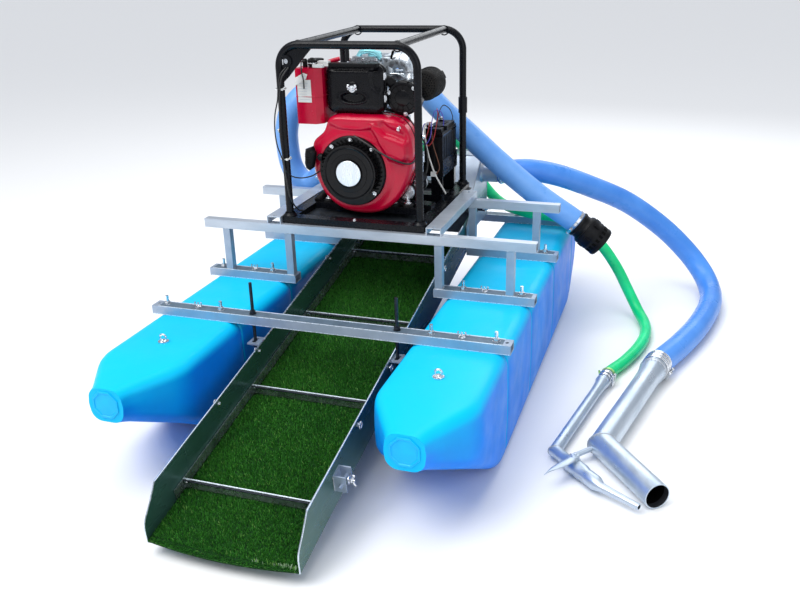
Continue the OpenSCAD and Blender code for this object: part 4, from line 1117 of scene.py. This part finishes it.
def mitre_rings(pts, rad, n=56):
    "rings of a mitred pipe through pts (metres)"
    pts = [Vector(q) for q in pts]
    d0 = (pts[1] - pts[0]).normalized()
    s, t = frame_of(d0)
    out = []
    for i, P_ in enumerate(pts):
        if i == 0 or i == len(pts) - 1:
            d = (pts[1] - pts[0]).normalized() if i == 0 else (pts[-1] - pts[-2]).normalized()
            nb = d
            din = d
        else:
            din = (pts[i] - pts[i - 1]).normalized()
            dout = (pts[i + 1] - pts[i]).normalized()
            nb = (din + dout).normalized()
        ring = []
        for j in range(n):
            a = 2 * math.pi * j / n
            o = (s * math.cos(a) + t * math.sin(a)) * rad[i]
            ring.append(P_ + o - din * (o.dot(nb) / din.dot(nb)))
        out.append(ring)
        if 0 < i < len(pts) - 1:
            q = din.rotation_difference(dout)
            s, t = q @ s, q @ t
    return out


def bead(part, ring, r=0.0026, step=1):
    "weld bead that follows a ring of points"
    n = len(ring)
    random.seed(n)
    pts = [ring[i % n] for i in range(0, n + 1, step)]
    part.tube(pts, [r * (0.85 + 0.3 * ((i * 7) % 3) / 2) for i in range(len(pts))], 8)


def refine(pts, rad, step=0.02):
    """the points as vectors and their radii, as they are; no rings are added"""
    P2, R2 = [], []
    for i in range(len(pts) - 1):
        a, b = Vector(pts[i]), Vector(pts[i + 1])
        P2.append(a)
        R2.append(rad[i])
    P2.append(Vector(pts[-1]))
    R2.append(rad[-1])
    return P2, R2


NA, NB_, NC = W(950, 664, 47), W(831, 111, 39), W(999, -110, 39)
d1, d2 = (NB_ - NA).normalized(), (NC - NB_).normalized()
noz = Part("nozzle_pipe", ROOT, ["nozzle", "weld", "hole_shade_and_black", "nozzle_inside_shade"])
L1 = (NB_ - NA).length
prof = [(0.0, 0.0432), (0.030, 0.0436), (0.036, 0.0445), (0.046, 0.0445), (0.050, 0.0432), (0.066, 0.0425), (0.086, 0.0400), (0.110, 0.0384), (0.16, 0.0380)]
pts = [NA + d1 * h for h, r in prof] + [NB_, NC - d2 * 0.004, NC]
rad = [r for h, r in prof] + [0.038, 0.038, 0.0376]
rg = mitre_rings(pts, rad, 64)
noz.rings(rg + [[NC + (v - NC) * (0.0345 / 0.0376) for v in rg[-1]]], close0=True, close1=False)
# painted shade inside the mouth: a darker copy of the nozzle metal for the first 2 cm, then near-black, closed by a
# near-black cap 12 cm in
inn = [[NC + (v - NC) * (0.0345 / 0.0376) - d2 * h for v in rg[-1]] for h in (0, 0.02, 0.06, 0.12)]
noz.use(3).rings(inn[:2], False, False)
noz.use(2).rings(inn[1:], False, True)
noz.use(1)
bead(noz, rg[len(prof)], 0.0024)
noz.lathe(NA + d1 * 0.041, d1, [(0.0440, -0.005), (0.0462, -0.003), (0.0466, 0), (0.0462, 0.003), (0.0440, 0.005)], 64, cap=False)
for i in range(26):
    a = 2 * math.pi * i / 26
    s_, t_ = frame_of(d1)
    noz.lathe(NA + d1 * 0.0505 + (s_ * math.cos(a) + t_ * math.sin(a)) * 0.0430, s_ * math.cos(a) + t_ * math.sin(a), [(0.0034, -0.001), (0.0030, 0.0012), (0.0012, 0.0020)], 8)
noz.done(slot="nozzle_metal", smooth=40, replaces=["suction_nozzle"])
cl = Part("nozzle_clamps", ROOT, ["bright", "hole_shade_and_black", "nozzle"], bevel=0.0)
for h, an in ((-0.022, 150), (-0.002, 146), (0.018, 152)):
    clamp(cl, NA + d1 * h, d1, 0.0445 if h > -0.01 else 0.0437, 0.013, an)
cl.use(2).lathe(NA + d1 * 0.008, d1, [(0.0437, -0.002), (0.0452, 0.0), (0.0437, 0.002)], 64, cap=False)
cl.done(slot="nozzle_metal")

JA, JB, JC, JD = W(791, 564, 28), W(701, 63, 24), W(850, -92, 28), W(956, -150, 24)
e1, e2, e3 = (JB - JA).normalized(), (JC - JB).normalized(), (JD - JC).normalized()
jt = Part("jet_pipe", ROOT, ["nozzle", "weld", "hole_shade_and_black"])
LB = (JC - JB).length
prof = [(-0.036, 0.0205), (0.030, 0.0210), (0.040, 0.0225), (0.046, 0.0225), (0.050, 0.0210), (0.075, 0.0195), (0.115, 0.0178)]
pts = [JA + e1 * h for h, r in prof] + [JB, JB + e2 * (LB * 0.26), JB + e2 * (LB * 0.30), JB + e2 * (LB * 0.36), JB + e2 * (LB * 0.62), JB + e2 * (LB * 0.70), JB + e2 * (LB * 0.74), JB + e2 * (LB * 0.90), JB + e2 * (LB * 0.965), JC, JC + e3 * 0.030, JC + e3 * 0.085, JD - e3 * 0.004, JD]
rad = [r for h, r in prof] + [0.0178, 0.0180, 0.0205, 0.0238, 0.0238, 0.0205, 0.0215, 0.0215, 0.0170, 0.0135, 0.0118, 0.0100, 0.0094, 0.0090]
rg = mitre_rings(pts, rad, 48)
jt.rings(rg + [[JD + (v - JD) * 0.72 for v in rg[-1]]], True, False)
# painted shade: near-black inside the mouth, closed 3 cm in
jt.use(2).rings([[JD + (v - JD) * 0.72 for v in rg[-1]], [JD + (v - JD) * 0.72 - e3 * 0.03 for v in rg[-1]]], False, True)
jt.use(1)
bead(jt, rg[len(prof)], 0.0017)
jt.use(0)
jt.lathe(JA + e1 * 0.034, e1, [(0.0212, -0.006), (0.0240, -0.004), (0.0240, 0.004), (0.0212, 0.006)], 48, cap=False)
# valve bonnet, bracket and strut to the big pipe
jt.cyl(W(768, -7, 44), W(768, -7, 56), 0.0115, 28, 0.001)
jt.lathe(W(768, -7, 44), (0, 0, 1), [(0.0165, -0.004), (0.0165, 0.004), (0.0125, 0.007)], 6)
jt.tube([W(736, 26, 22), W(740, 14, 10), W(770, -22, 7), W(806, -56, 8), W(822, -66, 18)], 0.0042, 12, 5)
st = [W(748, 33, 27), W(776, 60, 31), W(806, 88, 36)]
jt.tube(st, 0.0078, 20, 3)
jt.use(1)
jt.lathe(st[0], st[1] - st[0], [(0.0085, 0.004), (0.0105, 0.007), (0.0085, 0.010)], 20, cap=False)
jt.done(slot="nozzle_metal", smooth=40, replaces=["jet_tube"])
cl = Part("jet_clamps", ROOT, ["bright", "hole_shade_and_black", "clamp_green", "black_steel"])
clamp(cl, JA - e1 * 0.030, e1, 0.0218, 0.010, 20, 2, 1)
clamp(cl, JA - e1 * 0.006, e1, 0.0220, 0.011, 175)
clamp(cl, JA + e1 * 0.014, e1, 0.0220, 0.011, 178)
cl.use(3).lathe(JA + e1 * 0.004, e1, [(0.0216, 0), (0.0226, 0.001), (0.0216, 0.002)], 48, cap=False)
cl.done(slot="nozzle_metal")

# leaf-shaped jet lever, curved in plan, thicker along its spine
lv = Part("lever_leaf", "lever", ["nozzle"])
LP = catmull([Vector((768, -7, 0)), Vector((757, -27, 0)), Vector((741, -50, 0)), Vector((722, -76, 0)), Vector((709, -98, 0)), Vector((700, -122, 0))], 7)
n = len(LP)
rg = []
for i, q in enumerate(LP):
    t = i / (n - 1)
    hw = 3.0 + 9.5 * math.sin(math.pi * min(1, t * 0.85 + 0.22)) ** 1.2 if i else 7
    hw *= (1 - t ** 4) + 0.10
    a, b = LP[max(0, i - 1)], LP[min(n - 1, i + 1)]
    dd = (b - a).normalized()
    nn = Vector((-dd.y, dd.x, 0))
    zz = 59.5 - 5.0 * math.sin(math.pi * t) * 0.6 - 2 * t
    ring = []
    for k in range(16):
        al = 2 * math.pi * k / 16
        th = (2.6 * (1 - t) + 1.1)
        c2 = q + nn * (hw * math.cos(al))
        ring.append(W(c2.x, c2.y, zz + th * math.sin(al) * (1 - 0.25 * math.cos(al) ** 2)))
    rg.append(ring)
lv.rings(rg)
lv.cyl(W(768, -7, 56.5), W(768, -7, 64), 0.0125, 32, 0.0012)
lv.bolt(W(768, -7, 64), (0, 0, 1), 0.010, 0.005)
lv.done(slot="nozzle_metal", smooth=60, replaces=["jet_lever"])

FA = W(610, 1058, 412)
FD = Vector((100, 10, -80)).normalized()
fv = Part("foot_shell", ROOT, ["black_plastic", "hole_shade_and_black", "bright", "rubber"])
fv.lathe(FA, FD, [(0.0465, -0.004), (0.050, 0.0), (0.050, 0.006), (0.0470, 0.010), (0.0468, 0.020), (0.0500, 0.028), (0.0565, 0.033), (0.0575, 0.040), (0.0560, 0.046),
                  (0.0560, 0.066), (0.0578, 0.070), (0.0578, 0.076), (0.0560, 0.080), (0.0560, 0.100), (0.0578, 0.104), (0.0578, 0.112), (0.0545, 0.118)], 64, cap=False)
s_, t_ = frame_of(FD)
# the slots round the body are near-black boxes, painted shade
for i in range(18):
    a = 2 * math.pi * (i + 0.5) / 18
    o = s_ * math.cos(a) + t_ * math.sin(a)
    q = -s_ * math.sin(a) + t_ * math.cos(a)
    m = Matrix.Translation(FA + FD * 0.090 + o * 0.0558) @ Matrix(((*q, 0), (*FD, 0), (*o, 0), (0, 0, 0, 1))).transposed()
    fv.use(1).box((-0.0052, -0.0075, -0.0004), (0.0052, 0.0075, 0.0010), m)
    m = Matrix.Translation(FA + FD * 0.056 + o * 0.0560) @ Matrix(((*q, 0), (*FD, 0), (*o, 0), (0, 0, 0, 1))).transposed()
    if i % 3 == 0:
        fv.use(0).box((-0.003, -0.010, -0.0006), (0.003, 0.010, 0.0035), m)
# a near-black disc behind the end grille, painted shade in the mouth
fv.use(1).lathe(FA + FD * 0.1175, FD, [(0.044, 0.0), (0.044, 0.0006), (0.0005, 0.0008)], 48)
for i in range(-4, 5):
    w_ = math.sqrt(max(0, 0.042 ** 2 - (i * 0.0095) ** 2))
    fv.use(0).cyl(FA + FD * 0.1185 + s_ * (i * 0.0095) - t_ * w_, FA + FD * 0.1185 + s_ * (i * 0.0095) + t_ * w_, 0.0014, 8)
clamp(fv, FA - FD * 0.012, FD, 0.0447, 0.012, 40, 2, 1)
fv.done(slot="black_plastic")

# clamps at the other hose ends, inlet spigot and its weld
cl = Part("end_clamps", ROOT, ["bright", "hole_shade_and_black", "weld", "sheet", "black_steel", "rubber"])
def at(ps, h):
    a = 0.0
    for i in range(1, len(ps)):
        l = (ps[i] - ps[i - 1]).length
        if a + l >= h:
            t = (h - a) / l
            return ps[i - 1].lerp(ps[i], t), (ps[i] - ps[i - 1]).normalized()
        a += l
    return ps[-1], (ps[-1] - ps[-2]).normalized()
for ps_, h, r, an in ((in_ps, 0.014, 0.0445, 60), (in_ps, 0.036, 0.0445, 130), (su_ps, 0.014, 0.0436, 20), (su_ps, 0.034, 0.0436, 100), (pr_ps, 0.012, 0.0216, 60)):
    c_, d_ = at(ps_, h)
    clamp(cl, c_, d_, r, 0.012, an)
cl.use(5).lathe(W(-290, 840, 626), (1, 0, 0), [(0.0405, 0.0), (0.0415, 0.004), (0.0405, 0.008)], 48, cap=False)
cl.use(2).lathe(W(221, 1130, 575), (1, 0, 0), [(0.0382, 0.007), (0.041, 0.003), (0.043, -0.001)], 48, cap=False)
# small clamp valve beside the header box
cl.use(4).cyl(W(236, 985, 470), W(268, 985, 470), 0.012, 24, 0.001)
cl.box(W(224, 970, 452), W(236, 1000, 488))
cl.use(0).bolt(W(268, 985, 470), (1, 0, 0), 0.013, 0.008, stud=0.012)
cl.tube([W(262, 972, 470), W(270, 966, 476), W(274, 962, 486), W(270, 966, 494)], 0.0032, 10, 4)
cl.done()

for kw in CORDS:
    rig.cord(**kw)


# ---------------------------------------------------------------- frame and sluice details
BT = 373.0
TL, TR, TD, TT, MT, RH = -200, 220, 125, 2, 12, 30
LEG_YM, LEG_YR, LEG_S, RAIL_Z, RAIL_S = 362, 802, 25, 553, 30
tr = Part("beam_channels", ROOT, ["channel_painted_shade", "edge_painted_highlight", "weld", "bright", "plug"])
for nd, ylo in (("beam_front", 0), ("beams_middle", None), ("beams_third", None), ("beam_rear", None)):
    o = frame["nodes"][nd]
    vs = [o.matrix_world @ v.co for v in o.data.vertices]
    vs = [(v.x * 1000, v.y * 1000 + 452, v.z * 1000) for v in vs]
    groups = [vs] if nd in ("beam_front", "beam_rear") else [[v for v in vs if v[0] < 0], [v for v in vs if v[0] > 0]]
    for g in groups:
        x0, x1 = min(v[0] for v in g), max(v[0] for v in g)
        y0, y1 = min(v[1] for v in g), max(v[1] for v in g)
        zt = max(v[2] for v in g)
        a = 24 if nd == "beam_front" else 12
        # painted shade: a thin dark sheet over the top between the lips, for the shaded inside of the channel
        tr.use(0).box(W(x0 + a, y0 + 4.5, zt - 0.4), W(x1 - a, y1 - 5.5, zt + 0.35))
        # painted highlight: bright strips along both top lips and a bright line on the front face 26 mm below the top
        tr.use(1).box(W(x0 + a, y0 + 0.2, zt - 0.5), W(x1 - a, y0 + 3.4, zt + 0.9))
        tr.box(W(x0 + a, y1 - 3.6, zt - 0.5), W(x1 - a, y1 - 0.4, zt + 0.9))
        tr.box(W(x0 + 3, y0 - 0.5, zt - 27.5), W(x1 - 3, y0 + 1, zt - 25.8))
        for xs in ([-420, 430] if nd == "beam_front" else [(x0 + x1) / 2]):
            if nd == "beam_front" or abs(xs) > 250:
                tr.use(3).bolt(W(xs, (y0 + y1) / 2, zt + 0.4), (0, 0, 1), 0.011, 0.006, stud=0.010)
                for sg in (-1, 1):
                    tr.tube([W(xs + sg * 4, (y0 + y1) / 2, zt + 6), W(xs + sg * 9, (y0 + y1) / 2, zt + 9), W(xs + sg * 12, (y0 + y1) / 2, zt + 15), W(xs + sg * 9, (y0 + y1) / 2, zt + 18)], 0.0022, 8, 3)
tr.done(slot="galv")
wl = Part("leg_welds", ROOT, ["weld"])
for y in (LEG_YM, LEG_YR):
    for x in (-495, -262, 262, 495):
        for z in (BT + 1, RAIL_Z - RAIL_S - 1):
            h = LEG_S / 2
            cs = [(x - h, y), (x + h, y), (x + h, y + 2 * h), (x - h, y + 2 * h)]
            pts = []
            for (ax, ay), (bx2, by2) in zip(cs, cs[1:] + cs[:1]):
                for k in range(9):
                    pts.append(W(ax + (bx2 - ax) * k / 9, ay + (by2 - ay) * k / 9, z))
            pts.append(pts[0])
            wl.tube(pts, [0.0016 * (1 + 0.35 * ((i * 5) % 3 - 1)) for i in range(len(pts))], 6)
wl.done(slot="galv")

# sluice trims ride with the tray
sd = Part("tray_trim", "sluice", ["tray_edge", "tray", "bright", "weld"])
for x in (TL + 0.9, TR - 0.9):
    sd.use(0).tube([S(x, -699, -TD + 1), S(x, -690.5, -71), S(x, -652, -36), S(x, -615, 0.4)], 0.0019, 8, 4)
    sd.tube([S(x, -615, 0.6), S(x, -300, 0.6), S(x, 0, 0.6), S(x, 300, 0.6), S(x, 600, 0.6), S(x, 845, 0.6)], 0.0026, 8)
    # outward hem and the fold line inside the wall
    sg = -1 if x < 0 else 1
    sd.use(1).tube([S(x - sg * 1.5, -470, -4), S(x - sg * 1.7, -476, -60), S(x - sg * 1.5, -480, -TD + 14)], 0.0012, 8)
    sd.use(3).tube([S(x - sg * 1.4, v, -TD + 3) for v in range(-690, 840, 40)], 0.0016, 6)
# ring eyes and studs on the walls
for v in (-280, -20, 560):
    for x, sg in ((TL - 8, -1), (TR + 8, 1)):
        c_ = S(x, v, -14)
        sd.use(2).tube([c_ + Vector((sg * 0.002, 0.009 * math.cos(a * math.pi / 8), 0.009 * math.sin(a * math.pi / 8))) for a in range(17)], 0.0022, 8)
        sd.cyl(S(x - sg * 8, v, -14), S(x + sg * 1, v, -14), 0.0042, 16)
        sd.bolt(S(x - sg * 10.5, v, -14), (-sg, 0, 0), 0.009, 0.004)
# bracket bolt and wing nut at the front right
sd.use(2).bolt(S(TR + 34, -443, -55), (1, 0, 0), 0.013, 0.008, stud=0.008)
for sg in (-1, 1):
    sd.tube([S(TR + 44, -443, -55 + sg * 4), S(TR + 46, -443, -55 + sg * 10), S(TR + 50, -443, -55 + sg * 16), S(TR + 47, -443, -55 + sg * 17)], 0.0028, 8, 3)
sd.use(3)
for v in (-465, -461, -425, -421):
    sd.tube([S(TR + 1, v, w_) for w_ in range(-80, -29, 6)], 0.0016, 6)
sd.done(slot="sheet_green")
# riffle bars: folded top lip with a painted highlight along its edge, and a black line under its downslope side as
# painted shadow
rf = Part("riffle_lips", "riffles", ["edge_painted_highlight", "black_steel", "bright"])
zt_ = -TD + TT + MT + RH
for v in (-515, -105, 310, 750):
    rf.use(0).tube([S(TL + 6, v + 1.5, zt_ + 0.8), S(0, v + 1.5, zt_ + 0.8), S(TR - 6, v + 1.5, zt_ + 0.8)], 0.0019, 8)
    # painted shadow: a black line under the lip
    rf.use(1).tube([S(TL + 8, v - 2.6, zt_ - 3.5), S(TR - 8, v - 2.6, zt_ - 3.5)], 0.0022, 8)
    for x in (TL + 14, TR - 14):
        rf.use(2).bolt(S(x, v - 0.2, zt_ - 7), S(0, -1, 0) - S(0, 0, 0), 0.009, 0.004)
rf.done(slot="sheet_green")
# pale strands sticking out at the lip's right end
bd = Part("lip_strands", "mat", ["turf_pale", "turf_fleck"])
random.seed(11)
for i in range(60):
    x = TR - 12 - (random.random() ** 1.7) * 130
    v = -697 + random.random() * 7
    b0 = S(x, v, -TD + TT + 2 - 7 * math.sin(math.pi * (x - TL) / (TR - TL)))
    tip = b0 + Vector((random.uniform(-0.003, 0.003), random.uniform(-0.004, 0.001), random.uniform(0.009, 0.017)))
    bd.use(0 if random.random() < 0.6 else 1).tube([b0, (b0 + tip) / 2 + Vector((random.uniform(-0.001, 0.001), 0, 0)), tip], [0.0011, 0.0009, 0.0003], 5)
bd.done(slot="turf")
# ---------------------------------------------------------------- engine side, wiring, base
def wire(name, pts, dia, material, slot="black_plastic"):
    hose(name, pts, dia, material, slot, None, k=7, stiffness="limp", lay="hanging", replace=False)
    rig.cord(**CORDS[-1])


wire("lead_red", [(126, 758, 830), (128, 730, 838), (128, 710, 812), (121, 702, 782), (132, 700, 764), (148, 704, 786), (157, 710, 830), (160, 722, 872), (150, 744, 884), (138, 800, 858), (128, 862, 834)], 0.0032, "wire_red", "white_cable")
wire("lead_blue", [(118, 744, 830), (110, 722, 832), (108, 704, 800), (112, 696, 772), (128, 694, 774), (141, 697, 800), (143, 706, 846), (152, 716, 880), (168, 728, 878), (172, 748, 850), (168, 762, 824)], 0.0032, "wire_blue", "white_cable")
wire("lead_brown", [(138, 716, 812), (144, 706, 790), (148, 704, 764), (160, 706, 724), (168, 708, 690), (162, 708, 672), (154, 706, 664)], 0.0036, "wire_brown", "white_cable")
wire("lead_black", [(150, 752, 824), (156, 748, 868), (168, 762, 893), (182, 792, 876), (182, 832, 842), (172, 856, 822)], 0.0030, "wire_black")
wire("lead_starter", [(108, 690, 806), (124, 694, 760), (130, 692, 700), (118, 684, 650), (98, 676, 612), (80, 668, 590)], 0.0068, "wire_black")
wire("lead_switch", [(-236, 390, 1062), (-250, 372, 1040), (-262, 375, 1000), (-268, 375, 960), (-283, 380, 915), (-289, 382, 865), (-284, 380, 815), (-268, 375, 775), (-262, 375, 745), (-250, 396, 712), (-226, 424, 699), (-196, 446, 703), (-176, 464, 716)], 0.0042, "wire_black")
wire("lead_post", [(-228, 390, 1062), (-246, 370, 1030), (-256, 372, 990), (-262, 372, 930), (-266, 372, 850), (-262, 371, 790), (-256, 374, 700), (-250, 380, 640), (-240, 404, 598), (-238, 440, 580)], 0.0052, "wire_black")
wire("lead_sensor", [(-47, 464, 838), (2, 449, 817), (50, 441, 792), (98, 441, 770), (140, 456, 757), (152, 500, 765), (136, 560, 785), (106, 600, 800)], 0.0060, "wire_black")
wire("hose_drip", [(-224, 503, 1060), (-226, 482, 1066), (-218, 461, 1040), (-212, 459, 1012), (-214, 463, 985)], 0.0044, "wire_black")

p = Part("battery_wires", ROOT, ["wire_red", "wire_blue", "wire_brown", "wire_black", "white_tie", "bright", "label"])
p.use(4).box(W(138, 700, 656), W(156, 712, 672))
for y in (752, 880):
    p.use(5).lathe(W(126, y, 822), (0, 0, 1), [(0.0095, 0), (0.0095, 0.003)], 24)
    p.bolt(W(126, y, 825), (0, 0, 1), 0.010, 0.006)
p.use(6).box(W(171.5, 887, 594), W(173.2, 904, 650))
p.done()
p = Part("battery_case", ROOT, ["black_plastic", "black_gloss"], bevel=0.001)
p.use(1).box(W(106, 724, 790), W(176, 907, 798))
for y in (748, 778, 808, 838, 868):
    p.use(0).box(W(173.5, y, 664), W(175.4, y + 12, 786))
for x in (114, 134, 154):
    p.box(W(x, 724.2, 664), W(x + 12, 726.5, 786))
for y in (770, 800, 830, 860):
    p.lathe(W(150, y, 816), (0, 0, 1), [(0.009, 0), (0.009, 0.003), (0.007, 0.004)], 20)
p.box(W(103, 770, 806), W(179, 784, 821))
p.done(slot="black_plastic")

p = Part("engine_side", ROOT, ["silver_cast", "bright", "black_plastic", "iron", "rubber", "cast", "teal"], bevel=0.0006)
p.use(0).box(W(92, 560, 690), W(100, 650, 790))
p.box(W(84, 570, 640), W(96, 700, 694))
for y, z in ((570, 700), (640, 700), (570, 780), (640, 780), (605, 740)):
    p.use(1).bolt(W(100, y, z), (1, 0, 0), 0.010, 0.007)
p.use(0).lathe(W(100, 605, 760), (1, 0, 0), [(0.020, 0), (0.020, 0.006), (0.012, 0.010), (0.012, 0.018)], 28)
p.use(1).lathe(W(112, 560, 810), (0, 0, 1), [(0.004, -0.03), (0.013, -0.024), (0.015, -0.018), (0.015, 0.030), (0.017, 0.031), (0.017, 0.040), (0.006, 0.046)], 28)
p.use(2).lathe(W(112, 560, 792), (0, 0, 1), [(0.0156, 0), (0.0156, 0.020)], 28, cap=False)
p.use(4).tube([W(112, 560, 858), W(110, 552, 884), W(70, 556, 902), W(20, 590, 905)], 0.0055, 12, 6)
p.tube([W(112, 560, 780), W(116, 572, 740), W(112, 600, 700), W(100, 640, 690)], 0.0050, 12, 6)
p.use(1).tube([W(82, 622, 880), W(90, 618, 900), W(86, 618, 930), W(66, 622, 960), W(40, 626, 972)], 0.0028, 10, 6)
p.tube([W(74, 640, 872), W(84, 650, 896), W(92, 672, 902), W(92, 700, 880), W(86, 712, 840)], 0.0024, 10, 6)
hx = [W(106 + 4.5 * math.cos(a * 0.7), 640 + a * 0.62, 812 + 4.5 * math.sin(a * 0.7)) for a in range(110)]
p.tube(hx, 0.0008, 5)
p.use(3).box(W(98, 636, 806), W(103, 712, 820))
p.use(1).cyl(W(100, 704, 790), W(100, 704, 836), 0.004, 14)
# starter motor low on the right
p.use(2).cyl(W(98, 560, 636), W(98, 690, 636), 0.030, 40, 0.003)
p.use(0).cyl(W(98, 548, 636), W(98, 560, 636), 0.027, 40, 0.002)
p.cyl(W(98, 690, 636), W(98, 704, 636), 0.031, 40, 0.002)
p.use(2).cyl(W(124, 575, 668), W(124, 650, 668), 0.017, 32, 0.002)
p.use(1).bolt(W(124, 575, 676), (0, -1, 0), 0.009, 0.006, stud=0.006)
p.bolt(W(124, 575, 660), (0, -1, 0), 0.009, 0.006, stud=0.006)
p.use(1).bolt(W(98, 548, 650), (0, -1, 0), 0.008, 0.005)
p.bolt(W(98, 548, 622), (0, -1, 0), 0.008, 0.005)
# oil filler and dipstick
p.use(2).lathe(W(58, 546, 640), (0.5, -0.6, 0.6), [(0.016, 0), (0.018, 0.004), (0.018, 0.016), (0.010, 0.020)], 12)
# cooling fins and finned cover seen past the shroud
for k in range(9):
    p.use(5).box(W(30, 575, 640 + k * 14), W(86, 600, 645 + k * 14))
# cylinder head bolts and rocker cover lip
for y in (612, 728):
    for x in (-100, -16):
        p.use(1).bolt(W(x, y, 1030), (0, 0, 1), 0.012, 0.010, stud=0.006)
p.use(5).box(W(-108, 600, 1026), W(-6, 742, 1032))
p.done(slot="cast_alloy")

p = Part("engine_feet", ROOT, ["black", "bright", "rubber", "black_plastic", "cast"], bevel=0.001)
p.use(0).box(W(-214, 500, 576), W(146, 536, 590))
p.box(W(-214, 498, 576), W(146, 502, 598))
for x in (-170, 66, 112):
    p.use(2).lathe(W(x, 518, 590), (0, 0, 1), [(0.016, 0), (0.018, 0.004), (0.018, 0.014), (0.015, 0.018)], 28)
    p.use(1).lathe(W(x, 518, 608), (0, 0, 1), [(0.013, 0), (0.013, 0.002)], 24)
    p.bolt(W(x, 518, 610), (0, 0, 1), 0.013, 0.009, stud=0.014)
for x in (-170, 90):
    m = Matrix.Translation(W(x, 548, 606)) @ Matrix.Rotation(math.radians(24 if x > 0 else -24), 4, "Y")
    p.use(0).box((-0.034, -0.030, -0.004), (0.034, 0.030, 0.004), m)
# drain elbow on the left, bolts and rings at the cage's corners on the base
p.use(3).tube([W(-150, 600, 612), W(-180, 580, 616), W(-206, 556, 606), W(-214, 536, 592)], 0.017, 24, 6)
p.lathe(W(-212, 540, 596), (-0.3, -0.7, -0.5), [(0.0205, 0), (0.0205, 0.012), (0.016, 0.016)], 24)
for x, y in ((-30, 391), (-220, 934), (152, 934)):
    p.use(1).bolt(W(x, y, 576), (0, 0, 1), 0.009, 0.005)
for x in (-263, 193):
    for y in (396, 930):
        p.use(0).lathe(W(x, y, 576), (0, 0, 1), [(0.0235, 0), (0.0235, 0.003), (0.0175, 0.009), (0.0162, 0.012)], 36, cap=False)
p.done(slot="black_paint")

p = Part("cage_welds", ROOT, ["black", "bright"])
for x in (-198, 128):
    for y, sg in ((396, 1), (930, -1)):
        p.tube([W(x + 15.5 * math.cos(a * math.pi / 10), y + sg * (9 + 2 * abs(math.sin(a * math.pi / 10))), 1126 + 15.5 * math.sin(a * math.pi / 10)) for a in range(21)], 0.0022, 8)
for x, z in ((-263, 700), (193, 700)):
    p.use(1).bolt(W(x + (-16 if x < 0 else 16), 396, z + 160), (-1 if x < 0 else 1, 0, 0), 0.009, 0.004)
p.done(slot="black_paint")

# header box: folded lip, corner beads and stiffening ribs
p = Part("header_trim", ROOT, ["sheet", "weld", "bright"], bevel=0.0006)
ed = [(940, 380), (940, 505), (1105, 640), (1205, 640), (1205, 380)]
for x in (-200, 220):
    for (a, b), (c, d) in zip(ed, ed[1:]):
        p.use(1).tube([W(x, a + (c - a) * k / 12, b + (d - b) * k / 12) for k in range(13)], 0.0019, 6)
p.use(0)
for x in (-60, 80):
    p.box(W(x, 1204, 400), W(x + 14, 1208, 620))
for x in (-192, 212):
    for z in (430, 500, 570, 620):
        p.use(2).bolt(W(x, 1205, z), (0, 1, 0), 0.009, 0.005)
p.use(0).box(W(-202, 1110, 639), W(222, 1118, 643))
p.box(W(-202, 1197, 639), W(222, 1205, 643))
p.done(slot="sheet")


# ---------------------------------------------------------------- stage and light
def area(name, loc, rot_to, size, energy, col=(1, 1, 1)):
    l = bpy.data.lights.new(name, "AREA")
    l.energy = energy
    l.size = size
    l.color = col
    o = bpy.data.objects.new(name, l)
    bpy.context.scene.collection.objects.link(o)
    o.location = loc
    o.rotation_euler = (Vector(rot_to) - Vector(loc)).to_track_quat("-Z", "Y").to_euler()
    return o


area("key", (-1.6, -2.6, 3.8), (0, 0, 0.3), 2.4, 100, (1.0, 0.99, 0.97))
area("fill", (3.4, -2.6, 2.2), (0.2, 0, 0.3), 3.0, 42, (0.93, 0.97, 1.0))
area("back", (0.6, 3.6, 3.0), (0, 0, 0.4), 3.0, 55, (0.95, 0.98, 1.0))
area("top", (0.0, 0.2, 4.2), (0, 0, 0), 3.5, 40, (1, 1, 1))
sl_ = bpy.data.lights.new("sun", "SUN")
sl_.energy = 1.25
sl_.angle = math.radians(50)
so = bpy.data.objects.new("sun", sl_)
bpy.context.scene.collection.objects.link(so)
so.rotation_euler = (math.radians(18), math.radians(-14), 0)
w = bpy.data.worlds.new("world")
w.use_nodes = True
w.node_tree.nodes["Background"].inputs[0].default_value = (0.86, 0.91, 1.0, 1)
w.node_tree.nodes["Background"].inputs[1].default_value = 0.50
bpy.context.scene.world = w
me = bpy.data.meshes.new("floor")
me.from_pydata([(-30, -30, -0.0005), (30, -30, -0.0005), (30, 30, -0.0005), (-30, 30, -0.0005)], [], [(0, 1, 2, 3)])
fl = bpy.data.objects.new("floor", me)
fm = bpy.data.materials.new("floor")
fm.use_nodes = True
fm.node_tree.nodes["Principled BSDF"].inputs["Base Color"].default_value = (0.90, 0.90, 0.90, 1)
fm.node_tree.nodes["Principled BSDF"].inputs["Roughness"].default_value = 0.75
me.materials.append(fm)
bpy.context.scene.collection.objects.link(fl)
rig.stage(fl)

bpy.context.scene.view_settings.view_transform = "Standard"
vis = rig.bounds()
json.dump({"cad": [list(map(float, b)) for b in cad_box], "visual": [list(map(float, b)) for b in vis]}, open("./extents.json", "w"))
